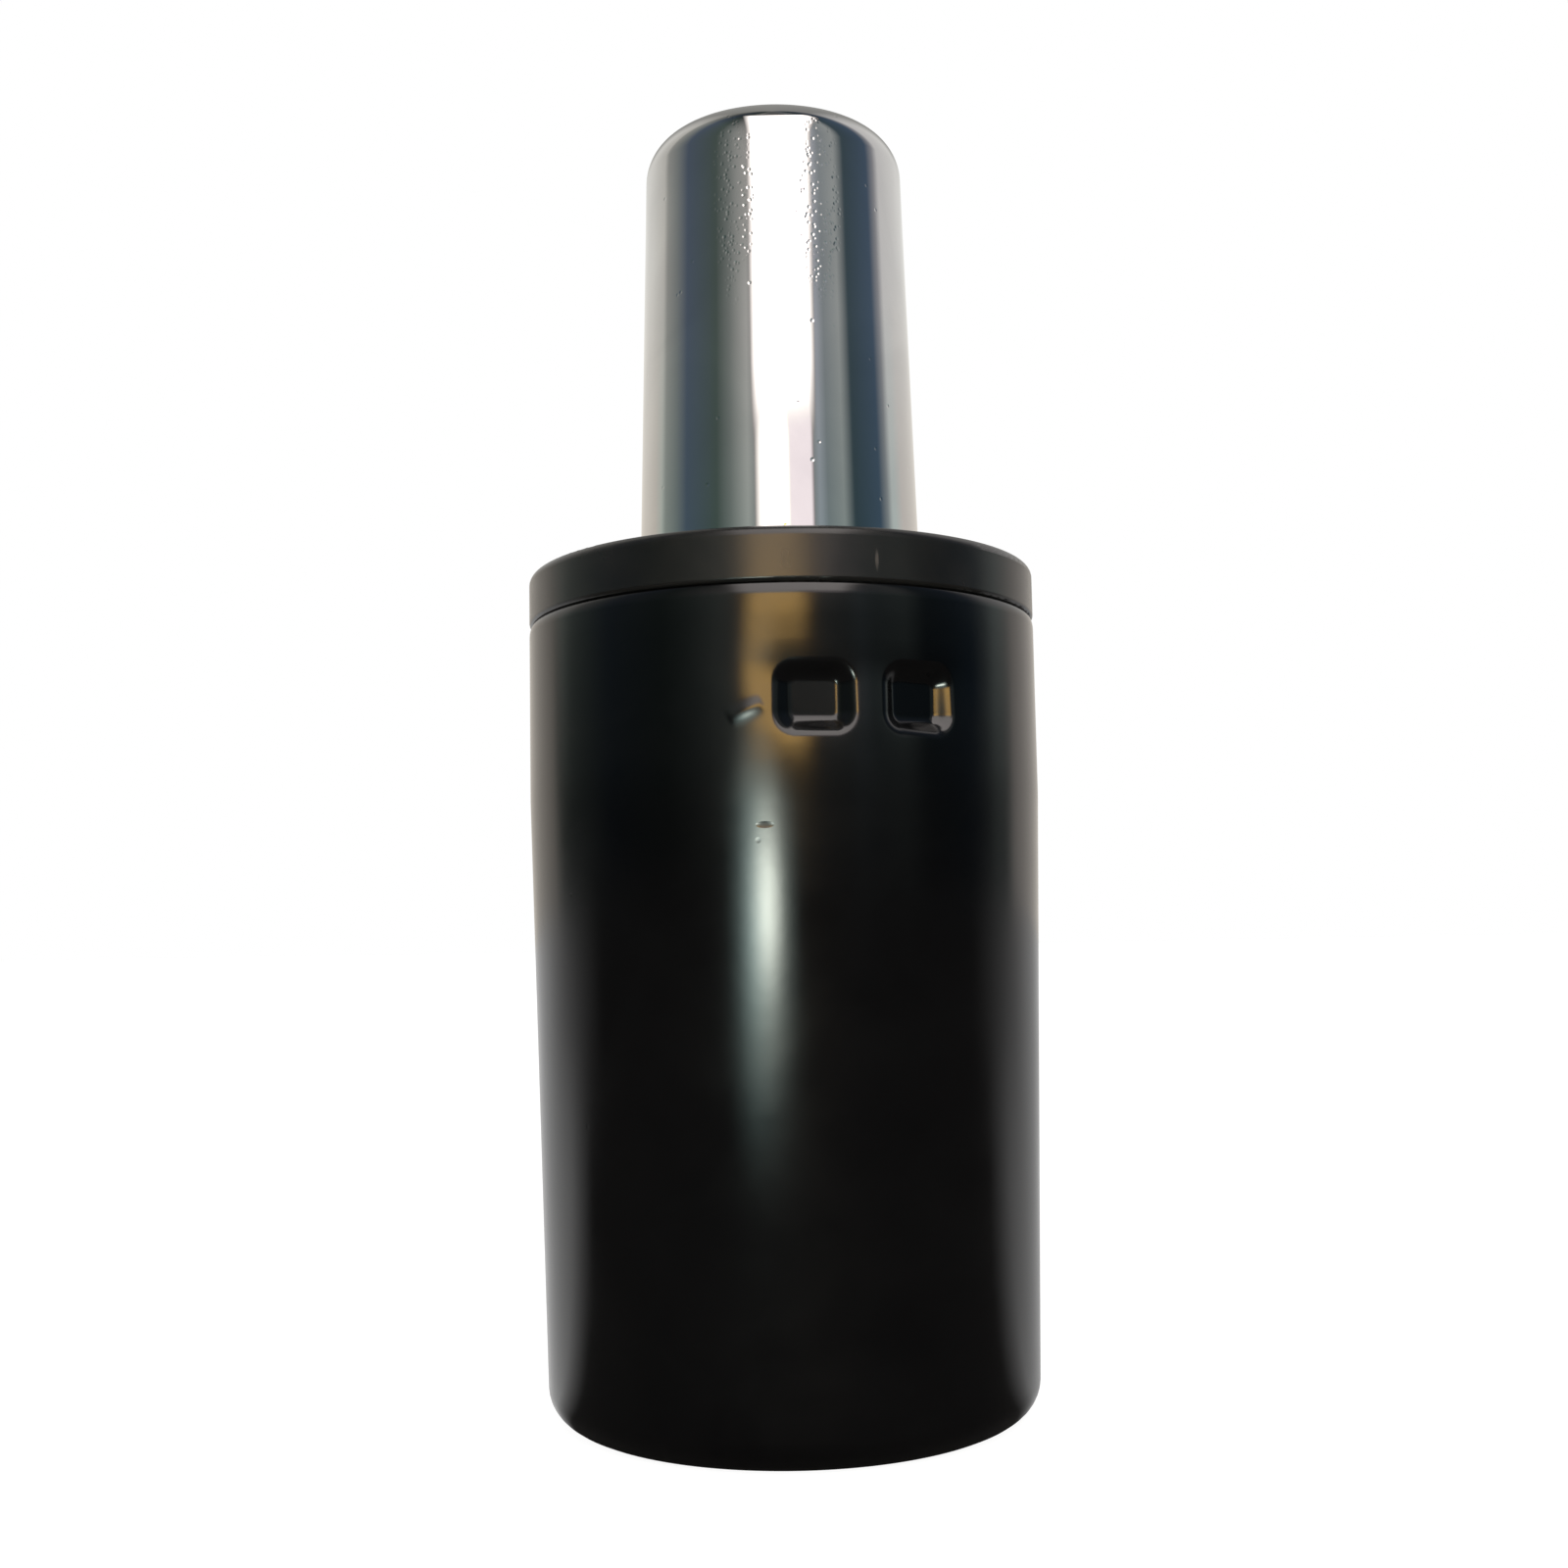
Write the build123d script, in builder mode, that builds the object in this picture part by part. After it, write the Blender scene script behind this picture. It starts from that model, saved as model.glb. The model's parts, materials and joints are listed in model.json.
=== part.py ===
from build123d import *
from math import cos, hypot, radians, sin, tan
import os

# Chair gas lift cylinder, pushed down all the way. Millimetres, +Z up.
# The origin is the centre of the foot, on the plane that the column stands on.
# The front is -Y. Angles round the column start there and grow towards +X.

# Shared by all pieces
cone_half_angle = 1 + 26 / 60 + 16 / 3600  # degrees, the usual cone of chair columns
running_clearance = 0.05  # radial, between pieces that turn or slide on each other
fitted_clearance = 0.04  # radial, between pieces that are pushed into each other
ring_clearance = 0.03  # round a sealing ring in its groove
cut_overrun = 1.0  # how far a cut starts outside what it cuts

# Stand tube: pressed steel, cone at the foot, straight above it
stand_radius = 25.0
stand_wall = 2.0
stand_height = 76.0
foot_edge_radius = 3.2
foot_lip_width = 5.0
foot_hole_edge = 0.5
stand_mouth_edge = 0.8
stand_mouth_inner_edge = 0.3

# Dimples that lock the guide sleeve in the stand tube
dimple_angles = (6, 29, 186, 209)
dimple_below_mouth = 10.2
dimple_above_cone = 7.0
dimple_depth = 1.3
dimple_width = 6.2
dimple_height = 5.7
dimple_corner = 2.2
dimple_floor_width = 4.7
dimple_floor_height = 4.4
dimple_floor_corner = 0.6
dimple_rim_edge = 0.7

# Guide sleeve: one plastic moulding with the collar that shows above the stand
collar_height = 5.0
collar_edge = 0.9
collar_lower_edge = 0.4
collar_bore_edge = 0.5
sleeve_length = 46.0  # below the collar
sleeve_lead_in = 0.8
sleeve_bush_wall = 2.6
sleeve_rib_width = 2.0
sleeve_rib_count = 12
sleeve_foot_band = 4.0
sleeve_head_band = 18.0
sleeve_lock_play = 0.2

# Base plate: pressed dish that closes the foot, raised in the middle
plate_thickness = 2.5
plate_rise = 3.5
plate_flat_margin = 0.3
plate_slope_width = 3.3
plate_bend = 0.8
plate_hole_play = 0.3

# Thrust bearing under the rod's shoulder
race_radius = 12.0
race_thickness = 1.5
race_edge = 0.3
race_bore_play = 1.0
race_spacing = 2.0
ball_radius = 1.5
ball_count = 12
ball_groove_play = 0.1
cage_thickness = 1.4
cage_bore_play = 1.2
cage_inset = 0.7
cage_pocket_play = 0.1

# Piston rod, standing on the bearing and held under the base plate
rod_radius = 5.0
rod_foot_step = 1.0
rod_foot_edge = 0.5
rod_foot_below_groove = 1.9
rod_thread_step = 1.0
rod_end_stand_out = 1.0
rod_shoulder_edge = 0.2

# Washer and clip under the base plate
foot_washer_radius = 8.0
foot_washer_thickness = 1.0
foot_washer_edge = 0.2
bearing_end_play = 0.2
clip_thickness = 0.8
clip_reach = 2.3
clip_band_width = 1.5
clip_groove_depth = 0.7
clip_tab_width = 2.4
clip_gap_width = 7.0
clip_tab_angles = (90, 180, 270)

# Stop under the gas tube
stop_washer_radius = 11.0
stop_washer_thickness = 1.0
stop_washer_edge = 0.2
stop_radius = 9.5
stop_height = 8.5
stop_waist_depth = 1.2
stop_waist_radius = 2.6
stop_edge = 0.8
stop_gap = 0.3

# Gas tube: chromed steel, straight in the guide sleeve, cone at the seat end
tube_radius = 14.0
tube_wall = 1.5
seat_cone_length = 45.0
tube_foot_edge = 2.0
tube_foot_hole_play = 2.5
tube_top_edge = 4.2
tube_top_land = 1.3
tube_hole_edge = 0.4

# Travel of the gas tube on its rod
stroke = 35.0
stroke_end_play = 0.5

# Rod guide, its ring, the rod seal and the ring above it
rod_guide_height = 8.0
rod_guide_edge = 0.5
guide_ring_section = 2.0
rod_seal_height = 5.5
seal_groove_width = 3.0
seal_groove_depth = 2.6
seal_edge = 0.3
spacer_flange_height = 1.5
spacer_spigot_height = 0.8
spacer_bore_play = 0.3
spacer_edge = 0.2

# Inner tube, round the piston
gas_passage = 2.0
inner_tube_wall = 1.0
inner_tube_port_width = 2.2
inner_tube_port_height = 2.0
inner_tube_port_count = 4

# Piston on the rod's upper end
piston_height = 8.0
piston_edge = 0.6
piston_ring_section = 2.6
piston_washer_inset = 1.5
piston_washer_thickness = 1.0
piston_washer_edge = 0.2
nut_inset = 0.5
nut_height = 5.0
nut_edge = 0.25
valve_room = 1.0  # between the rod's end and the valve, tube pushed down

# Valve at the seat end of the gas tube
valve_spigot_height = 11.0
valve_port_band_height = 3.2
valve_head_height = 12.0
valve_edge = 0.3
valve_port_band_inset = 0.1
valve_port_radius = 0.9
valve_port_count = 4
valve_seat_radius = 4.0
valve_seat_depth = 5.0
valve_gland_radius = 4.0
valve_gland_depth = 10.2
valve_inner_ring_section = 1.8
valve_outer_ring_section = 2.2

# Valve pin: stem, neck and sealing head in one
pin_radius = 2.0
pin_neck_radius = 1.3
pin_head_radius = 3.3
pin_head_height = 2.0
pin_head_edge = 0.5
pin_head_play = 0.2
pin_tip_edge = 0.3

# Release button and the plug that keeps it in
button_radius = 3.5
button_edge = 0.5
button_stand_out = 2.0
button_travel = 1.8
button_foot_flange = 1.3
button_foot_height = 1.2
button_foot_play = 0.1
button_press_play = 0.2
button_side_play = 0.15
button_room_play = 0.3
plug_height = 6.7
plug_edge_play = 0.2
plug_lower_edge = 0.3


# Radii on the two cones

cone_slope = tan(radians(cone_half_angle))


def stand_radius_at(level):
    """Outer radius of the stand tube at a height."""
    return stand_radius - cone_slope * max(0, stand_cone_height - level)


def tube_radius_at(level):
    """Outer radius of the gas tube at a height, tube pushed down."""
    return tube_radius - cone_slope * max(0, level - seat_cone_start)


def corner(profile, radius, level):
    """Corner of a profile that is being drawn, nearest to a radius and a height."""
    return profile.vertices().sort_by_distance(Vector(radius, level, 0))[0]


def on_outer_wall(edge):
    """Whether an edge of a dimple lies on the outside of the stand tube."""
    centre = edge.center()
    return hypot(centre.X, centre.Y) > stand_radius - dimple_depth / 2


def wall_plane(angle):
    """Upright plane through the axis, facing outwards at an angle from the front."""
    turn = radians(angle)
    return Plane(
        origin=(0, 0, dimple_level),
        x_dir=(cos(turn), sin(turn), 0),
        z_dir=(sin(turn), -cos(turn), 0),
    )


# Heights, from the foot up

dimple_level = stand_height - dimple_below_mouth
stand_cone_height = dimple_level - dimple_above_cone
plate_level = stand_wall
plate_flat_level = plate_level + plate_rise
lower_race_level = plate_flat_level + plate_thickness
ball_level = lower_race_level + race_thickness + race_spacing / 2
upper_race_level = lower_race_level + race_thickness + race_spacing
rod_shoulder_level = upper_race_level + race_thickness
stop_level = rod_shoulder_level + stop_washer_thickness
tube_foot_level = stop_level + stop_height + stop_gap
rod_guide_level = tube_foot_level + tube_wall
rod_seal_level = rod_guide_level + rod_guide_height
spacer_level = rod_seal_level + rod_seal_height
inner_tube_level = spacer_level + spacer_flange_height
spacer_top_level = inner_tube_level + spacer_spigot_height
piston_level = spacer_top_level + stroke + stroke_end_play
piston_washer_level = piston_level + piston_height
nut_level = piston_washer_level + piston_washer_thickness
rod_end_level = nut_level + nut_height + rod_end_stand_out
valve_level = rod_end_level + valve_room
valve_port_band_level = valve_level + valve_spigot_height
valve_head_level = valve_port_band_level + valve_port_band_height
plug_level = valve_head_level + valve_head_height
plug_top_level = plug_level + plug_height
tube_top_level = plug_top_level + tube_wall
seat_cone_start = tube_top_level - seat_cone_length
collar_top_level = stand_height + collar_height

foot_washer_top = plate_flat_level - bearing_end_play
clip_top_level = foot_washer_top - foot_washer_thickness
clip_level = clip_top_level - clip_thickness
rod_foot_level = clip_level - rod_foot_below_groove

# Radii, from the stand tube and the gas tube inwards

stand_inner_radius = stand_radius - stand_wall
tube_inner_radius = tube_radius - tube_wall
inner_tube_radius = tube_inner_radius - gas_passage
inner_tube_bore_radius = inner_tube_radius - inner_tube_wall
rod_foot_radius = rod_radius - rod_foot_step
rod_thread_radius = rod_radius - rod_thread_step
clip_groove_radius = rod_foot_radius - clip_groove_depth
spigot_radius = inner_tube_bore_radius - fitted_clearance
tube_fit_radius = tube_inner_radius - fitted_clearance

os.makedirs("parts", exist_ok=True)


# Stand tube, with its foot rolled in under the base plate

foot_radius = stand_radius_at(0)
foot_hole_radius = foot_radius - foot_lip_width
foot_inner_edge_radius = foot_edge_radius - stand_wall
floor_radius = stand_radius - dimple_depth
dimple_spread = (dimple_width - dimple_floor_width) / dimple_depth
dimple_rise = (dimple_height - dimple_floor_height) / dimple_depth
bump_face_radius = floor_radius - stand_wall

with BuildPart() as outer_tube:
    with BuildSketch(Plane.XZ) as profile:
        with BuildLine():
            Polyline(
                (foot_hole_radius, 0),
                (foot_radius, 0),
                (stand_radius, stand_cone_height),
                (stand_radius, stand_height),
                (stand_inner_radius, stand_height),
                (stand_inner_radius, stand_cone_height),
                (foot_radius - stand_wall, stand_wall),
                (foot_hole_radius, stand_wall),
                close=True,
            )
        make_face()
        fillet(corner(profile, foot_radius, 0), foot_edge_radius)
        fillet(corner(profile, foot_radius - stand_wall, stand_wall), foot_inner_edge_radius)
        fillet(corner(profile, foot_hole_radius, 0), foot_hole_edge)
        fillet(corner(profile, stand_radius, stand_height), stand_mouth_edge)
        chamfer(corner(profile, stand_inner_radius, stand_height), stand_mouth_inner_edge)
    revolve(axis=Axis.Z)
    # Steel pushed inwards behind each dimple
    for angle in dimple_angles:
        with BuildSketch(wall_plane(angle).offset(bump_face_radius)):
            RectangleRounded(
                dimple_floor_width + stand_wall, dimple_floor_height + stand_wall, dimple_corner
            )
        with BuildSketch(wall_plane(angle).offset(stand_inner_radius)):
            RectangleRounded(dimple_width + stand_wall, dimple_height + stand_wall, dimple_corner)
        loft()
    # Dimples, wider at the mouth than at the flat floor
    for angle in dimple_angles:
        with BuildSketch(wall_plane(angle).offset(floor_radius)):
            RectangleRounded(dimple_floor_width, dimple_floor_height, dimple_floor_corner)
        with BuildSketch(wall_plane(angle).offset(stand_radius + cut_overrun)):
            RectangleRounded(
                dimple_width + dimple_spread * cut_overrun,
                dimple_height + dimple_rise * cut_overrun,
                dimple_corner,
            )
        loft(mode=Mode.SUBTRACT)
        rim = outer_tube.edges(Select.LAST).filter_by(on_outer_wall)
        fillet(rim, dimple_rim_edge)

outer_tube.part.label = "outer_tube"
export_step(outer_tube.part, "parts/outer_tube.step")


# Guide sleeve, with ribs between the bush and the stand tube

sleeve_bore_radius = tube_radius + running_clearance
sleeve_foot_level = stand_height - sleeve_length
sleeve_radius = stand_inner_radius - fitted_clearance
sleeve_foot_radius = stand_radius_at(sleeve_foot_level) - stand_wall - fitted_clearance
lock_groove_radius = bump_face_radius - sleeve_lock_play
lock_groove_half_height = (dimple_height + stand_wall) / 2 + sleeve_lock_play
lock_groove_bottom = dimple_level - lock_groove_half_height
lock_groove_top = dimple_level + lock_groove_half_height
rib_foot_level = sleeve_foot_level + sleeve_foot_band
rib_height = sleeve_length - sleeve_foot_band - sleeve_head_band

with BuildPart() as guide_sleeve:
    with BuildSketch(Plane.XZ) as profile:
        with BuildLine():
            Polyline(
                (sleeve_bore_radius, sleeve_foot_level),
                (sleeve_foot_radius, sleeve_foot_level),
                (sleeve_radius, stand_cone_height),
                (sleeve_radius, lock_groove_bottom),
                (lock_groove_radius, lock_groove_bottom),
                (lock_groove_radius, lock_groove_top),
                (sleeve_radius, lock_groove_top),
                (sleeve_radius, stand_height),
                (stand_radius, stand_height),
                (stand_radius, collar_top_level),
                (sleeve_bore_radius, collar_top_level),
                close=True,
            )
        make_face()
        chamfer(corner(profile, sleeve_foot_radius, sleeve_foot_level), sleeve_lead_in)
        chamfer(corner(profile, sleeve_bore_radius, sleeve_foot_level), sleeve_lead_in)
        fillet(corner(profile, stand_radius, stand_height), collar_lower_edge)
        fillet(corner(profile, stand_radius, collar_top_level), collar_edge)
        fillet(corner(profile, sleeve_bore_radius, collar_top_level), collar_bore_edge)
    revolve(axis=Axis.Z)
    with BuildSketch(Plane.XY.offset(rib_foot_level)):
        Circle(stand_radius)
        with PolarLocations(0, sleeve_rib_count):
            Rectangle(
                stand_radius, sleeve_rib_width, align=(Align.MIN, Align.CENTER), mode=Mode.SUBTRACT
            )
        Circle(sleeve_bore_radius + sleeve_bush_wall, mode=Mode.SUBTRACT)
    extrude(amount=rib_height, mode=Mode.SUBTRACT)

guide_sleeve.part.label = "guide_sleeve"
export_step(guide_sleeve.part, "parts/guide_sleeve.step")


# Base plate, lying on the rolled foot

plate_radius = stand_radius_at(plate_level) - stand_wall - fitted_clearance
plate_hole_radius = rod_foot_radius + plate_hole_play
plate_flat_radius = race_radius + plate_flat_margin
plate_slope_radius = plate_flat_radius + plate_slope_width

with BuildPart() as base_plate:
    with BuildSketch(Plane.XZ) as profile:
        with BuildLine():
            Polyline(
                (plate_hole_radius, plate_flat_level),
                (plate_flat_radius, plate_flat_level),
                (plate_slope_radius, plate_level),
                (plate_radius, plate_level),
                (plate_radius, plate_level + plate_thickness),
                (plate_slope_radius, plate_level + plate_thickness),
                (plate_flat_radius, lower_race_level),
                (plate_hole_radius, lower_race_level),
                close=True,
            )
        make_face()
        chamfer(corner(profile, plate_radius, plate_level), foot_inner_edge_radius)
        fillet(corner(profile, plate_flat_radius, plate_flat_level), plate_bend)
        fillet(corner(profile, plate_slope_radius, plate_level), plate_bend)
        fillet(corner(profile, plate_slope_radius, plate_level + plate_thickness), plate_bend)
    revolve(axis=Axis.Z)

base_plate.part.label = "base_plate"
export_step(base_plate.part, "parts/base_plate.step")


# Thrust bearing: two grooved races, a cage and its balls

upper_race_bore_radius = rod_foot_radius + fitted_clearance
lower_race_bore_radius = rod_foot_radius + race_bore_play
ball_pitch_radius = (lower_race_bore_radius + race_radius) / 2
ball_groove_radius = ball_radius + ball_groove_play

with BuildPart() as bearing_lower_race:
    with BuildSketch(Plane.XY.offset(lower_race_level)):
        Circle(race_radius)
        Circle(lower_race_bore_radius, mode=Mode.SUBTRACT)
    extrude(amount=race_thickness)
    chamfer(bearing_lower_race.edges().filter_by(GeomType.CIRCLE), race_edge)
    with Locations((0, 0, ball_level - ball_radius - ring_clearance + ball_groove_radius)):
        Torus(ball_pitch_radius, ball_groove_radius, mode=Mode.SUBTRACT)

bearing_lower_race.part.label = "bearing_lower_race"
export_step(bearing_lower_race.part, "parts/bearing_lower_race.step")

with BuildPart() as bearing_upper_race:
    with BuildSketch(Plane.XY.offset(upper_race_level)):
        Circle(race_radius)
        Circle(upper_race_bore_radius, mode=Mode.SUBTRACT)
    extrude(amount=race_thickness)
    chamfer(bearing_upper_race.edges().filter_by(GeomType.CIRCLE), race_edge)
    with Locations((0, 0, ball_level + ball_radius + ring_clearance - ball_groove_radius)):
        Torus(ball_pitch_radius, ball_groove_radius, mode=Mode.SUBTRACT)

bearing_upper_race.part.label = "bearing_upper_race"
export_step(bearing_upper_race.part, "parts/bearing_upper_race.step")

with BuildPart() as ball_cage:
    with BuildSketch(Plane.XY.offset(ball_level - cage_thickness / 2)):
        Circle(race_radius - cage_inset)
        Circle(rod_foot_radius + cage_bore_play, mode=Mode.SUBTRACT)
        with PolarLocations(ball_pitch_radius, ball_count):
            Circle(ball_radius + cage_pocket_play, mode=Mode.SUBTRACT)
    extrude(amount=cage_thickness)

ball_cage.part.label = "ball_cage"
export_step(ball_cage.part, "parts/ball_cage.step")

with BuildPart(Plane.XY.offset(ball_level)) as bearing_balls:
    with PolarLocations(ball_pitch_radius, ball_count):
        Sphere(ball_radius)

bearing_balls.part.label = "bearing_balls"
export_step(bearing_balls.part, "parts/bearing_balls.step")


# Piston rod: narrow foot with a clip groove, shank, narrow end for the piston

with BuildPart() as piston_rod:
    with BuildSketch(Plane.XZ) as profile:
        with BuildLine():
            Polyline(
                (0, rod_foot_level),
                (rod_foot_radius, rod_foot_level),
                (rod_foot_radius, clip_level),
                (clip_groove_radius, clip_level),
                (clip_groove_radius, clip_top_level),
                (rod_foot_radius, clip_top_level),
                (rod_foot_radius, rod_shoulder_level),
                (rod_radius, rod_shoulder_level),
                (rod_radius, piston_level),
                (rod_thread_radius, piston_level),
                (rod_thread_radius, rod_end_level),
                (0, rod_end_level),
                close=True,
            )
        make_face()
        chamfer(corner(profile, rod_foot_radius, rod_foot_level), rod_foot_edge)
        chamfer(corner(profile, rod_radius, rod_shoulder_level), rod_shoulder_edge)
        chamfer(corner(profile, rod_radius, piston_level), rod_shoulder_edge)
        chamfer(corner(profile, rod_thread_radius, rod_end_level), rod_foot_edge)
    revolve(axis=Axis.Z)

piston_rod.part.label = "piston_rod"
export_step(piston_rod.part, "parts/piston_rod.step")


# Washer and open clip that hold the rod under the base plate

clip_radius = rod_foot_radius + clip_reach

with BuildPart() as foot_washer:
    with BuildSketch(Plane.XY.offset(clip_top_level)):
        Circle(foot_washer_radius)
        Circle(rod_foot_radius + fitted_clearance, mode=Mode.SUBTRACT)
    extrude(amount=foot_washer_thickness)
    chamfer(foot_washer.edges().filter_by(GeomType.CIRCLE), foot_washer_edge)

foot_washer.part.label = "foot_washer"
export_step(foot_washer.part, "parts/foot_washer.step")

with BuildPart() as retaining_clip:
    with BuildSketch(Plane.XY.offset(clip_level)):
        Circle(clip_radius)
        Circle(clip_radius - clip_band_width, mode=Mode.SUBTRACT)
        Rectangle(
            clip_radius + cut_overrun,
            clip_gap_width,
            align=(Align.MIN, Align.CENTER),
            mode=Mode.SUBTRACT,
        )
        for angle in clip_tab_angles:
            with Locations(Rot(Z=angle)):
                Rectangle(
                    clip_radius - clip_band_width / 2,
                    clip_tab_width,
                    align=(Align.MIN, Align.CENTER),
                )
        Circle(clip_groove_radius + fitted_clearance, mode=Mode.SUBTRACT)
    extrude(amount=clip_thickness)

retaining_clip.part.label = "retaining_clip"
export_step(retaining_clip.part, "parts/retaining_clip.step")


# Washer and rubber stop that the gas tube comes down on

stop_bore_radius = rod_radius + fitted_clearance

with BuildPart() as stop_washer:
    with BuildSketch(Plane.XY.offset(rod_shoulder_level)):
        Circle(stop_washer_radius)
        Circle(stop_bore_radius, mode=Mode.SUBTRACT)
    extrude(amount=stop_washer_thickness)
    chamfer(stop_washer.edges().filter_by(GeomType.CIRCLE), stop_washer_edge)

stop_washer.part.label = "stop_washer"
export_step(stop_washer.part, "parts/stop_washer.step")

with BuildPart() as rubber_stop:
    with BuildSketch(Plane.XY.offset(stop_level)):
        Circle(stop_radius)
        Circle(stop_bore_radius, mode=Mode.SUBTRACT)
    extrude(amount=stop_height)
    fillet(rubber_stop.edges().filter_by(GeomType.CIRCLE).group_by(SortBy.RADIUS)[-1], stop_edge)
    with Locations((0, 0, stop_level + stop_height / 2)):
        Torus(
            stop_radius + stop_waist_radius - stop_waist_depth,
            stop_waist_radius,
            mode=Mode.SUBTRACT,
        )

rubber_stop.part.label = "rubber_stop"
export_step(rubber_stop.part, "parts/rubber_stop.step")


# Gas tube, rolled in at both ends

tube_top_radius = tube_radius_at(tube_top_level)
tube_top_hole_radius = tube_top_radius - tube_top_edge - tube_top_land
tube_top_inner_edge = tube_top_edge - tube_wall
tube_foot_hole_radius = rod_radius + tube_foot_hole_play

with BuildPart() as gas_tube:
    with BuildSketch(Plane.XZ) as profile:
        with BuildLine():
            Polyline(
                (tube_foot_hole_radius, tube_foot_level),
                (tube_radius, tube_foot_level),
                (tube_radius, seat_cone_start),
                (tube_top_radius, tube_top_level),
                (tube_top_hole_radius, tube_top_level),
                (tube_top_hole_radius, plug_top_level),
                (tube_top_radius - tube_wall, plug_top_level),
                (tube_inner_radius, seat_cone_start),
                (tube_inner_radius, rod_guide_level),
                (tube_foot_hole_radius, rod_guide_level),
                close=True,
            )
        make_face()
        fillet(corner(profile, tube_radius, tube_foot_level), tube_foot_edge)
        fillet(corner(profile, tube_inner_radius, rod_guide_level), tube_foot_edge - tube_wall)
        fillet(corner(profile, tube_top_radius, tube_top_level), tube_top_edge)
        fillet(corner(profile, tube_top_radius - tube_wall, plug_top_level), tube_top_inner_edge)
        fillet(corner(profile, tube_top_hole_radius, tube_top_level), tube_hole_edge)
    revolve(axis=Axis.Z)

gas_tube.part.label = "gas_tube"
export_step(gas_tube.part, "parts/gas_tube.step")


# Rod guide at the foot of the gas tube, with a ring in its outer groove

guide_ring_level = rod_guide_level + rod_guide_height / 2
guide_ring_radius = guide_ring_section / 2

with BuildPart() as rod_guide:
    with BuildSketch(Plane.XY.offset(rod_guide_level)):
        Circle(tube_fit_radius)
        Circle(rod_radius + running_clearance, mode=Mode.SUBTRACT)
    extrude(amount=rod_guide_height)
    chamfer(rod_guide.edges().filter_by(GeomType.CIRCLE), rod_guide_edge)
    with BuildSketch(Plane.XY.offset(guide_ring_level - guide_ring_radius - ring_clearance)):
        Circle(tube_radius)
        Circle(tube_inner_radius - guide_ring_section - 2 * ring_clearance, mode=Mode.SUBTRACT)
    extrude(amount=guide_ring_section + 2 * ring_clearance, mode=Mode.SUBTRACT)

rod_guide.part.label = "rod_guide"
export_step(rod_guide.part, "parts/rod_guide.step")

with BuildPart() as guide_ring:
    with Locations((0, 0, guide_ring_level)):
        Torus(tube_inner_radius - ring_clearance - guide_ring_radius, guide_ring_radius)

guide_ring.part.label = "guide_ring"
export_step(guide_ring.part, "parts/guide_ring.step")


# Rod seal, with a groove in its pressure side that spreads its lips

seal_groove_centre = (rod_radius + tube_inner_radius) / 2
seal_top_level = rod_seal_level + rod_seal_height

with BuildPart() as rod_seal:
    with BuildSketch(Plane.XZ) as profile:
        with BuildLine():
            Polyline(
                (rod_radius + ring_clearance, rod_seal_level),
                (tube_fit_radius, rod_seal_level),
                (tube_fit_radius, seal_top_level),
                (seal_groove_centre + seal_groove_width / 2, seal_top_level),
                (seal_groove_centre, seal_top_level - seal_groove_depth),
                (seal_groove_centre - seal_groove_width / 2, seal_top_level),
                (rod_radius + ring_clearance, seal_top_level),
                close=True,
            )
        make_face()
        fillet(corner(profile, seal_groove_centre, seal_top_level - seal_groove_depth), seal_edge)
        chamfer(corner(profile, rod_radius, rod_seal_level), seal_edge)
    revolve(axis=Axis.Z)

rod_seal.part.label = "rod_seal"
export_step(rod_seal.part, "parts/rod_seal.step")


# Spacer over the seal, with a low spigot that centres the inner tube

with BuildPart() as seal_spacer:
    with BuildSketch(Plane.XY.offset(spacer_level)):
        Circle(tube_fit_radius)
    extrude(amount=spacer_flange_height)
    with BuildSketch(Plane.XY.offset(inner_tube_level)):
        Circle(spigot_radius)
    extrude(amount=spacer_spigot_height)
    chamfer(seal_spacer.edges().group_by(Axis.Z)[-1], spacer_edge)
    with Locations((0, 0, spacer_level)):
        Hole(rod_radius + spacer_bore_play)

seal_spacer.part.label = "seal_spacer"
export_step(seal_spacer.part, "parts/seal_spacer.step")


# Inner tube, from the spacer to the valve, with gas ports at its foot

with BuildPart() as inner_tube:
    with BuildSketch(Plane.XY.offset(inner_tube_level)):
        Circle(inner_tube_radius)
        Circle(inner_tube_bore_radius, mode=Mode.SUBTRACT)
    extrude(amount=valve_port_band_level - inner_tube_level)
    with BuildSketch(Plane.XY.offset(inner_tube_level)):
        with PolarLocations(0, inner_tube_port_count):
            Rectangle(
                inner_tube_radius + cut_overrun,
                inner_tube_port_width,
                align=(Align.MIN, Align.CENTER),
            )
    extrude(amount=inner_tube_port_height, mode=Mode.SUBTRACT)

inner_tube.part.label = "inner_tube"
export_step(inner_tube.part, "parts/inner_tube.step")


# Piston, its ring, washer and nut on the rod's upper end

piston_ring_level = piston_level + piston_height / 2
piston_ring_radius = piston_ring_section / 2
piston_bore_radius = rod_thread_radius + fitted_clearance
piston_washer_radius = inner_tube_bore_radius - piston_washer_inset

with BuildPart() as piston:
    with BuildSketch(Plane.XY.offset(piston_level)):
        Circle(inner_tube_bore_radius - running_clearance)
        Circle(piston_bore_radius, mode=Mode.SUBTRACT)
    extrude(amount=piston_height)
    chamfer(piston.edges().filter_by(GeomType.CIRCLE).group_by(SortBy.RADIUS)[-1], piston_edge)
    with BuildSketch(Plane.XY.offset(piston_ring_level - piston_ring_radius - ring_clearance)):
        Circle(inner_tube_radius)
        Circle(
            inner_tube_bore_radius - piston_ring_section - 2 * ring_clearance, mode=Mode.SUBTRACT
        )
    extrude(amount=piston_ring_section + 2 * ring_clearance, mode=Mode.SUBTRACT)

piston.part.label = "piston"
export_step(piston.part, "parts/piston.step")

with BuildPart() as piston_ring:
    with Locations((0, 0, piston_ring_level)):
        Torus(inner_tube_bore_radius - ring_clearance - piston_ring_radius, piston_ring_radius)

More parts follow.
